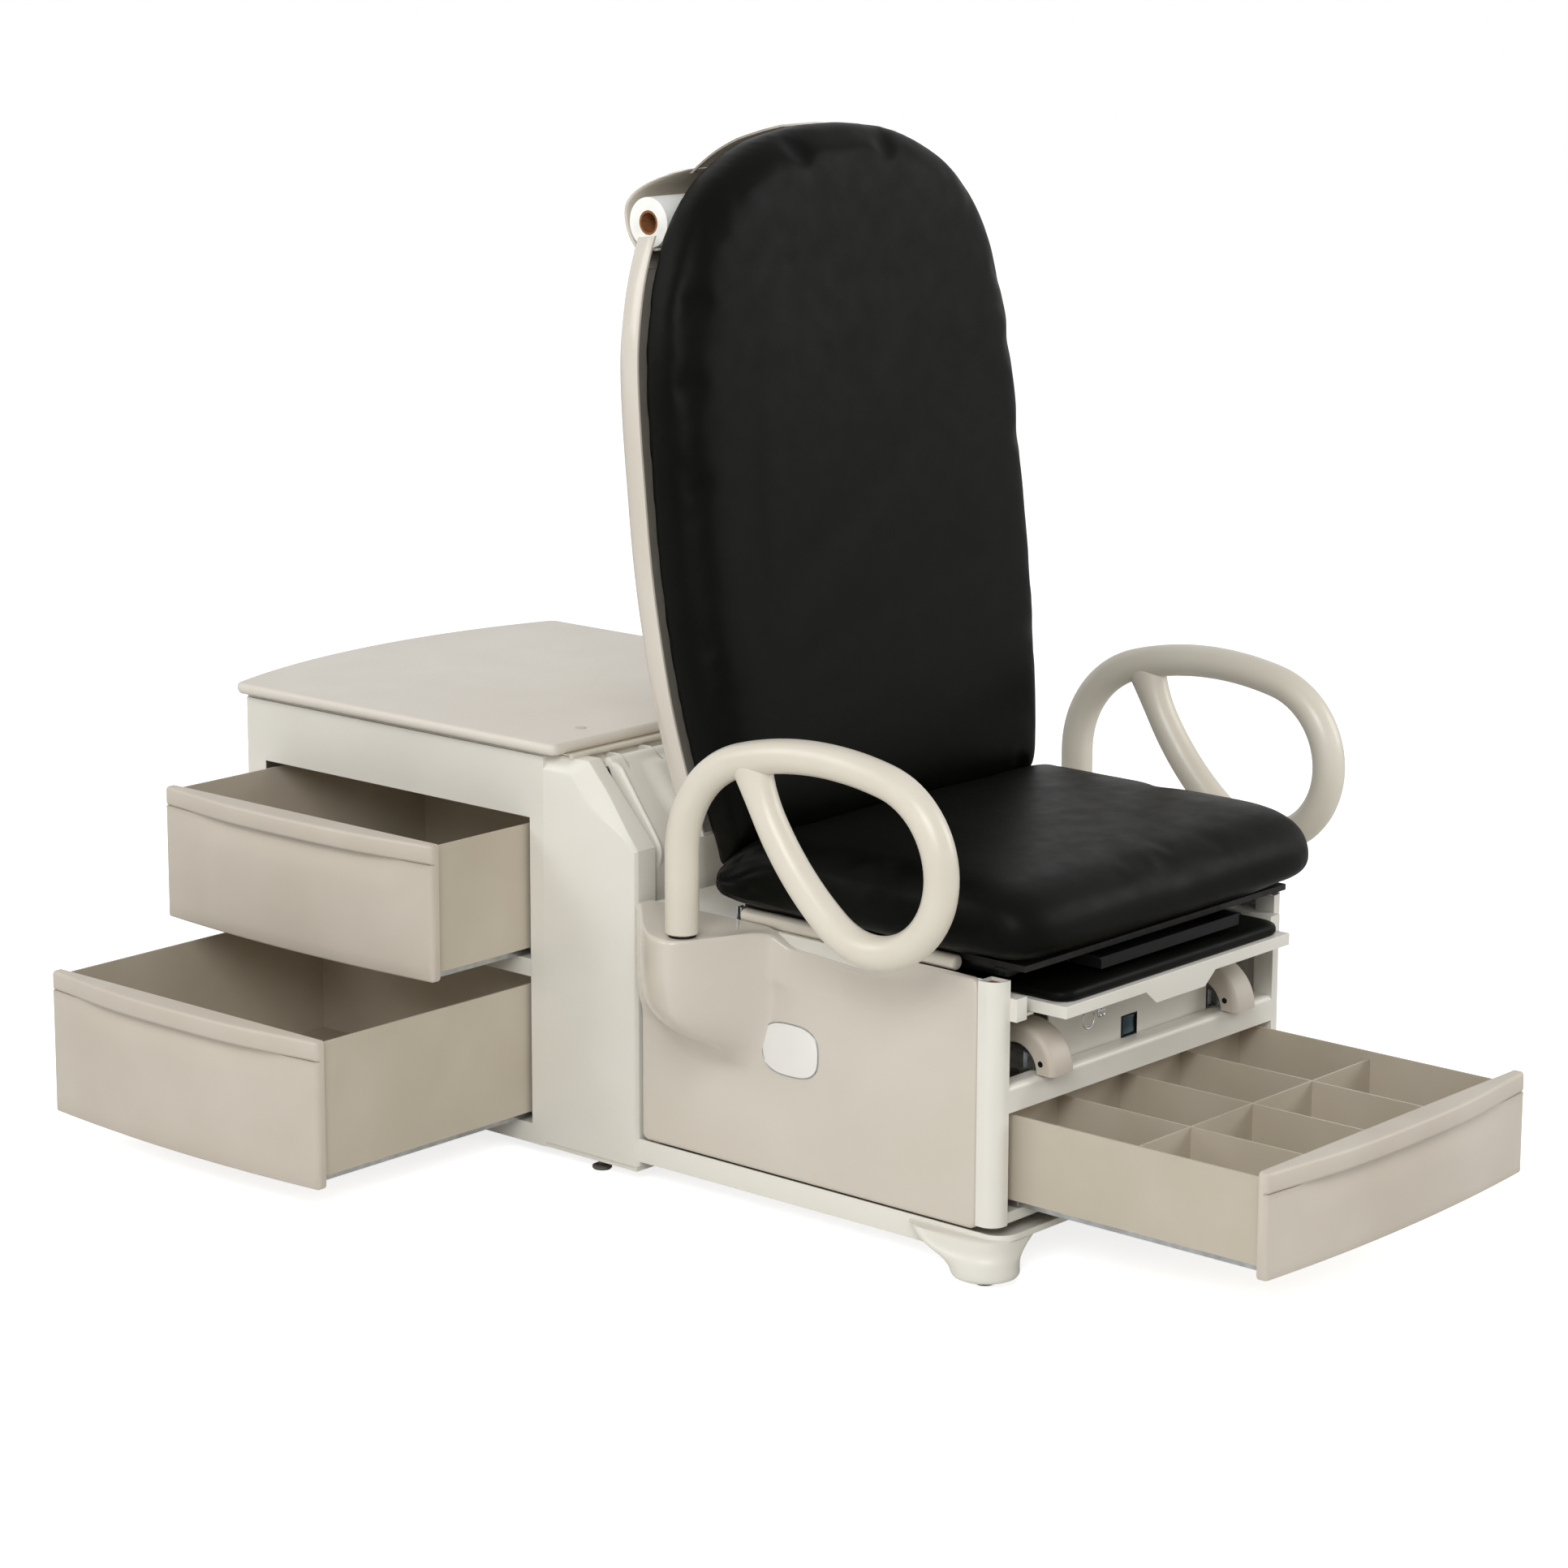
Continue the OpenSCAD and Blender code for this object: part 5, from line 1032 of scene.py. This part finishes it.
def cover():
    """Sloping cover between the wings: side ridges, slots in its top edge, a swelling in its middle."""
    places = [0]
    for a, b in zip(COVER_PATH, COVER_PATH[1:]):
        places.append(places[-1] + math.dist(a, b))
    forward = [(d, p[0]) for d, p in zip(places, COVER_PATH)]
    upward = [(d, p[1]) for d, p in zip(places, COVER_PATH)]
    slope_start, slope_end = places[4], places[7]
    rows, columns = 110, 120
    rings = []
    for i in range(columns + 1):
        share = 2 * i / columns - 1
        x = COVER_HALF * math.copysign(1 - (1 - abs(share)) ** 1.35, share)
        side = COVER_HALF - abs(x)
        ring = []
        for k in range(rows + 1):
            # closer rows on the top edge and the slope
            d = places[-1] * (k / rows) ** 1.25
            y, z = along(forward, d), along(upward, d)
            after, before = min(places[-1], d + 1), max(0, d - 1)
            ahead = Vector((along(forward, after) - along(forward, before),
                            along(upward, after) - along(upward, before))).normalized()
            out = Vector((ahead.y, -ahead.x))
            on_slope = smooth((d - slope_start) / 14)
            ridge = 7 * smooth(1 - abs(side - 9) / 9) * on_slope * smooth((slope_end + 30 - d) / 30)
            edge = -14 * smooth(1 - side / 5)
            reach = smooth((212 - abs(x) - max(0, 0.1 * (d - slope_start - 60))) / 26)
            swell = reach * along(SWELL, (d - slope_start) / (slope_end - slope_start))
            p = Vector((y, z)) + out * (ridge + edge + swell)
            ring.append((x, p.x, min(p.y, 565.4)))
        ring += [(x, -60, 48), (x, 20, 530)]
        rings.append(ring)
    piece = make_piece("cover_moulding", skin(rings), "base", "cabinet_enamel", 50, ("front_cover",))
    slots = [block((x - 2.6, -8, 548), (x + 2.6, 19, 572)) for x in (-232, -170, 170, 232)]
    carve(piece, slots, 50)
    channel = bmesh.new()
    for y, z in (((24, 47), (546, 550)), ((47, 51), (546, 563)), ((51, 82), (560, 563))):
        add_block(channel, (-266, y[0], z[0]), (266, y[1], z[1]), 0.8)
    for x in (-232, -170, -60, 60, 170, 232):
        add_block(channel, (x + 4, 20, 549), (x + 7.5, 48, 563.5), 0.8)
    make_piece("cover_channel", channel, "base", "cabinet_enamel", 40)


# Small parts

# height, reach outward, reach inward across and along, roundness of a bell foot
BELL = ((10.8, 35, 35, 35, 2), (11.2, 38.5, 38.5, 38.5, 2), (12.6, 41.6, 41.6, 41.6, 2),
        (15, 43.3, 43.3, 43.4, 2), (18, 43.9, 43.9, 44.5, 2), (24, 44, 44, 48, 2), (30, 44, 44, 55, 2.05),
        (36, 44, 45, 66, 2.2), (41, 43.2, 49, 80, 2.4), (45, 40.5, 56, 92, 2.7), (49, 36, 68, 104, 3),
        (53, 30, 86, 114, 3.3), (57, 25, 104, 122, 3.6), (58.5, 23, 112, 126, 3.8))


def bell_foot(side, name):
    """Bell foot that swells out of the corner of the base pan."""
    x, y = side * 304, -679
    rings = []
    for z, out, across, back, power in BELL:
        shift = Vector(((across - out) / 2, (back - out) / 2))
        reach = Vector(((across + out) / 2, (back + out) / 2))
        rings.append([(x - side * (shift.x + reach.x * r * c), y + shift.y + reach.y * r * d, z)
                      for r, c, d in squircle(72, power)])
    make_piece("bell_foot_" + name, skin(rings), "base", "cabinet_enamel", 40)


def pan():
    """Base pan: skirts along its sides, a thin lip in front and a sunk floor."""
    low, high = mm_box("base_pan")
    half, front, rear, corner = 305, -708, 87, 30
    top, sunk, skirt, lip = high.z, high.z - 5, high.z - 32, high.z - 8
    rings, floor_line = [], []
    for sx, sy, start in ((1, -1, -90), (1, 1, 0), (-1, 1, 90), (-1, -1, 180)):
        for w in arc(start, start + 90, 12):
            out = Vector((math.cos(w), math.sin(w)))
            middle = Vector((sx * (half - corner), front + corner if sy < 0 else rear - corner))
            base = skirt + (lip - skirt) * (smooth(-out.y * 1.2) if sy < 0 else 0)
            section = ((0, base), (0, top - 1.2), (0.4, top - 0.3), (1.2, top), (2, top), (2.6, top - 0.4),
                       (3, top - 1.2), (3, base))
            rings.append([(*(middle + out * (corner - inset)), z) for inset, z in section])
            floor_line.append(middle + out * (corner - 2.5))
    bm = skin(rings + rings[:1], caps=False)
    bmesh.ops.remove_doubles(bm, verts=bm.verts, dist=WELD)
    add_skin(bm, [[(*q, z) for q in floor_line] for z in (sunk - 3, sunk)])
    make_piece("pan_moulding", bm, "base", "cabinet_enamel", 40, ("base_pan",))


def side_tubes():
    """Painted tubes beside the seat, on steel brackets."""
    tubes, brackets = bmesh.new(), bmesh.new()
    for side in (-1, 1):
        x = side * 291
        ends = [(-620, 5), (-619.5, 7.5), (-618, 9.3), (-616, 10), (-266, 10), (-264, 9.3), (-262.5, 7.5),
                (-262, 5)]
        rings = [[(x + r * math.cos(w), y, 402 + r * math.sin(w)) for w in circle(32)] for y, r in ends]
        add_skin(tubes, rings)
        for y in (-262.5, -256):
            add_block(brackets, (x - 6, y, 392.3), (x + 6, y + 2.2, 412.5), 0.5)
        add_block(brackets, (x - 6, y - 6, 392.3), (x + 6, y + 2, 393.6), 0.4)
    make_piece("seat_side_tubes", tubes, "lift", "arm_coat", 35)
    make_piece("seat_brackets", brackets, "lift", "zinc", 35)


def seat_rails():
    """The rails, stubs and hinge ears under the seat."""
    bm = bmesh.new()
    for side in (-1, 1):
        for x, y, z in (((256, 275), (-686, -250), (392.4, 404)), ((153, 280), (-687, -669), (394, 404)),
                        ((153, 156), (-689, -389), (390, 404)), ((149, 156), (-689, -389), (388, 391)),
                        ((120, 128), (HINGE.y - 15, HINGE.y + 15), (392, HINGE.z))):
            xs = sorted((side * x[0], side * x[1]))
            add_block(bm, (xs[0], y[0], z[0]), (xs[1], y[1], z[1]), 0.6)
        add_tube(bm, ((side * 120, HINGE.y, HINGE.z), (side * 128, HINGE.y, HINGE.z)), 15, 32)
    add_tube(bm, ((-128, HINGE.y, HINGE.z), (128, HINGE.y, HINGE.z)), 8, 24)
    make_piece("seat_rails", bm, "lift", "pivot_steel", 35, ("seat_frame",))


def switch():
    """Switch panel with a black bezel round its rocker."""
    low, high = mm_box("switch_panel")
    rocker_low, rocker_high = mm_box("rocker_button")
    half, z = rocker_high.x + 1.3, (rocker_low.z - 2.6, rocker_high.z + 2.6)
    panel, bezel = bmesh.new(), bmesh.new()
    add_frame(panel, (low.x, high.x), (low.z, high.z), (-670, -668), (-half, half), z)
    make_piece("switch_plate", panel, "lift", "cabinet_enamel", 35, ("switch_panel",))
    add_frame(bezel, (0.1 - half, half - 0.1), (z[0] + 0.1, z[1] - 0.1), (-671, -661),
              (2 - half, half - 2), (z[0] + 2, z[1] - 2))
    make_piece("switch_bezel", bezel, "lift", "black_plastic", 35)


def rocker():
    """Rocker with a dished face and rounded sides."""
    low, high = mm_box("rocker_button")
    mid_z, half = (low.z + high.z) / 2, (high.z - low.z) / 2
    rings = []
    end = high.x - 1.3
    for x, ease in ((-end, 1), (0.4 - end, 0.35), (1.2 - end, 0), (end - 1.2, 0), (end - 0.4, 0.35),
                    (end, 1)):
        ring = []
        for k in range(17):
            w = k / 8 - 1
            ring.append((x, low.y + 1.2 * (1 - w * w) + 0.9 * ease + 0.6 * max(0, abs(w) - 0.85) / 0.15,
                         mid_z + w * (half - 0.5 * ease)))
        ring += [(x, high.y - 1, mid_z + half - 0.5), (x, high.y - 1, mid_z - half + 0.5)]
        rings.append(ring)
    make_piece("rocker_cap", skin(rings), "rocker", "rocker_plastic", 40, ("rocker_button",))


def painted_post_shade():
    """Brown blocks just inside the open tops of the two front posts: painted shade in their hollows."""
    bm = bmesh.new()
    for side in (-1, 1):
        xs = sorted((side * 286, side * 298))
        # brown core board just under each open post top, as painted shade in the hollow
        add_block(bm, (xs[0], -689, 380), (xs[1], -670, 388), 0.6)
    make_piece("painted_post_shade", bm, "lift", "core_board", 35)


def tray_clip():
    """Wire clip under the front of the foot tray, with its ring."""
    wire = bmesh.new()
    x, y, z = -166, -746, 341
    loop = [(x - 16 + 12 * math.cos(w), y + 4, z - 12 + 12 * math.sin(w)) for w in arc(90, 390, 25)]
    add_tube(wire, loop, 1, 10)
    for dx in (0, 7):
        hook = [(x + dx, y, z + 2), (x + dx, y, z - 8), (x + dx + 1, y, z - 10.5), (x + dx + 3, y, z - 11),
                (x + dx + 4.5, y, z - 9)]
        add_tube(wire, hook, 1.7, 10)
    add_tube(wire, [(x - 3, y, z - 4), (x + 12, y, z - 4)], 0.9, 10)
    make_piece("tray_clip", wire, "foot_rest", "zinc", 50)


def lid_button():
    """Round plug in the worktop over its front edge."""
    rings = [[(-218 + r * math.cos(w), 101 + r * math.sin(w), z) for w in circle(40)]
             for r, z in ((8, 585.4), (8, 586.6), (7.5, 587), (5, 587.3), (1, 587.4))]
    make_piece("lid_plug", skin(rings), "lid", "drawer_fronts", 35)


# Stage, lights and camera, in metres

# how white the floor shows by itself, and how brightly the world lights the object
FLOOR_GLOW = 0.78
WORLD_LIGHT = 0.46


def stage():
    """Wide pale floor that shows white outside the shadow of the object."""
    mesh = bpy.data.meshes.new("floor")
    reach = 14
    corners = [(-reach, -reach, 0), (reach, -reach, 0), (reach, reach, 0), (-reach, reach, 0)]
    mesh.from_pydata(corners, [], [(0, 1, 2, 3)])
    floor = bpy.data.objects.new("floor", mesh)
    bpy.context.scene.collection.objects.link(floor)
    finish = bpy.data.materials.new("floor")
    finish.use_nodes = True
    nodes, links = finish.node_tree.nodes, finish.node_tree.links
    nodes.remove(nodes["Principled BSDF"])
    matt = nodes.new("ShaderNodeBsdfDiffuse")
    matt.inputs["Color"].default_value = (0.86, 0.86, 0.85, 1)
    glow = nodes.new("ShaderNodeEmission")
    glow.inputs["Color"].default_value = (1, 1, 1, 1)
    path = nodes.new("ShaderNodeLightPath")
    seen = nodes.new("ShaderNodeMath")
    seen.operation = "MULTIPLY"
    seen.inputs[1].default_value = FLOOR_GLOW
    both = nodes.new("ShaderNodeAddShader")
    links.new(path.outputs["Is Camera Ray"], seen.inputs[0])
    links.new(seen.outputs["Value"], glow.inputs["Strength"])
    links.new(matt.outputs["BSDF"], both.inputs[0])
    links.new(glow.outputs["Emission"], both.inputs[1])
    links.new(both.outputs["Shader"], nodes["Material Output"].inputs["Surface"])
    mesh.materials.append(finish)


def world():
    """White surroundings, dimmer where they only light the object."""
    sky = bpy.data.worlds.new("studio")
    bpy.context.scene.world = sky
    sky.use_nodes = True
    nodes, links = sky.node_tree.nodes, sky.node_tree.links
    plain = nodes["Background"]
    plain.inputs["Color"].default_value = (1, 1, 1, 1)
    path = nodes.new("ShaderNodeLightPath")
    seen = nodes.new("ShaderNodeMath")
    seen.operation = "MAXIMUM"
    through = nodes.new("ShaderNodeMath")
    through.operation = "MAXIMUM"
    level = nodes.new("ShaderNodeMapRange")
    level.inputs["To Min"].default_value = WORLD_LIGHT
    level.inputs["To Max"].default_value = 1.0
    links.new(path.outputs["Is Camera Ray"], seen.inputs[0])
    links.new(path.outputs["Is Transmission Ray"], seen.inputs[1])
    links.new(seen.outputs["Value"], through.inputs[0])
    links.new(path.outputs["Is Glossy Ray"], through.inputs[1])
    links.new(through.outputs["Value"], level.inputs["Value"])
    links.new(level.outputs["Result"], plain.inputs["Strength"])


def lamp(name, place, target, size, power):
    """Soft rectangular lamp at a place, turned to a target."""
    light = bpy.data.lights.new(name, "AREA")
    light.shape = "RECTANGLE"
    light.size, light.size_y = size
    light.energy = power
    holder = bpy.data.objects.new(name, light)
    bpy.context.scene.collection.objects.link(holder)
    holder.location = place
    holder.rotation_euler = (Vector(target) - Vector(place)).to_track_quat("-Z", "Y").to_euler()


def lights():
    lamp("key", (-3.7, -2.7, 3.0), (0, -0.2, 0.5), (2.4, 2.0), 116)
    lamp("fill", (3.0, -3.2, 2.2), (0, -0.2, 0.6), (2.0, 2.0), 58)
    lamp("rear", (-3.0, 2.6, 2.8), (0, 0.2, 0.6), (2.0, 2.0), 47)


def camera():
    """Camera at the photograph's place, turned and framed as the photograph is."""
    azimuth, pitch, roll = (math.radians(v) for v in (48.816, 11.857, 0.193))
    focal_pixels, shift_pixels, image = 5358.12, 97.0, 1932
    sensor = 36
    lens = bpy.data.cameras.new("camera")
    lens.sensor_width = sensor
    lens.lens = focal_pixels / image * sensor
    lens.shift_y = -shift_pixels / image
    lens.clip_end = 60
    level = math.cos(pitch)
    ahead = Vector((math.sin(azimuth) * level, math.cos(azimuth) * level, -math.sin(pitch)))
    right = Vector((math.cos(azimuth), -math.sin(azimuth), 0))
    up = right.cross(ahead)
    across = right * math.cos(roll) + up * math.sin(roll)
    over = -right * math.sin(roll) + up * math.cos(roll)
    holder = bpy.data.objects.new("camera", lens)
    bpy.context.scene.collection.objects.link(holder)
    turn = Matrix((across, over, -ahead)).transposed()
    holder.matrix_world = Matrix.Translation((-4.3787, -3.9061, 1.8297)) @ turn.to_4x4()
    bpy.context.scene.camera = holder


def main():
    bpy.context.scene.view_settings.view_transform = "Standard"
    camera()
    world()
    lights()
    stage()
    dress_nodes()
    seat_upholstery()
    back_upholstery()
    foot_cushion()
    back_shell()
    hood()
    for side, name in ((-1, "left"), (1, "right")):
        arm(side, name)
        shroud(side, name)
        badge(side, name, ("side_badges",) if side < 0 else ())
        heel_cup(side, name)
        bell_foot(side, name)
    for name, facing in (("upper_drawer", "x"), ("lower_drawer", "x"), ("front_drawer", "y")):
        drawer_front(name + "_fascia", name + "_front", name, facing)
    worktop()
    lid_button()
    cover()
    side_tubes()
    seat_rails()
    switch()
    rocker()
    painted_post_shade()
    tray_clip()
    pan()
    wing(-1, "left", ("wing_panels",))
    wing(1, "right", ())
    for node, body, width in (("cabinet_wrap", "base", 0.7), ("drawer_face_frame", "base", 0.7),
                              ("bin_tray", "base", 0.7), ("front_frame", "lift", 0.7),
                              ("frame_wrap", "lift", 0.7), ("foot_tray", "foot_rest", 0.7),
                              ("tray_runners", "lift", 0.8), ("deck_panel", "lift", 0.7)):
        soften(node, body, "cabinet_enamel", width)


main()
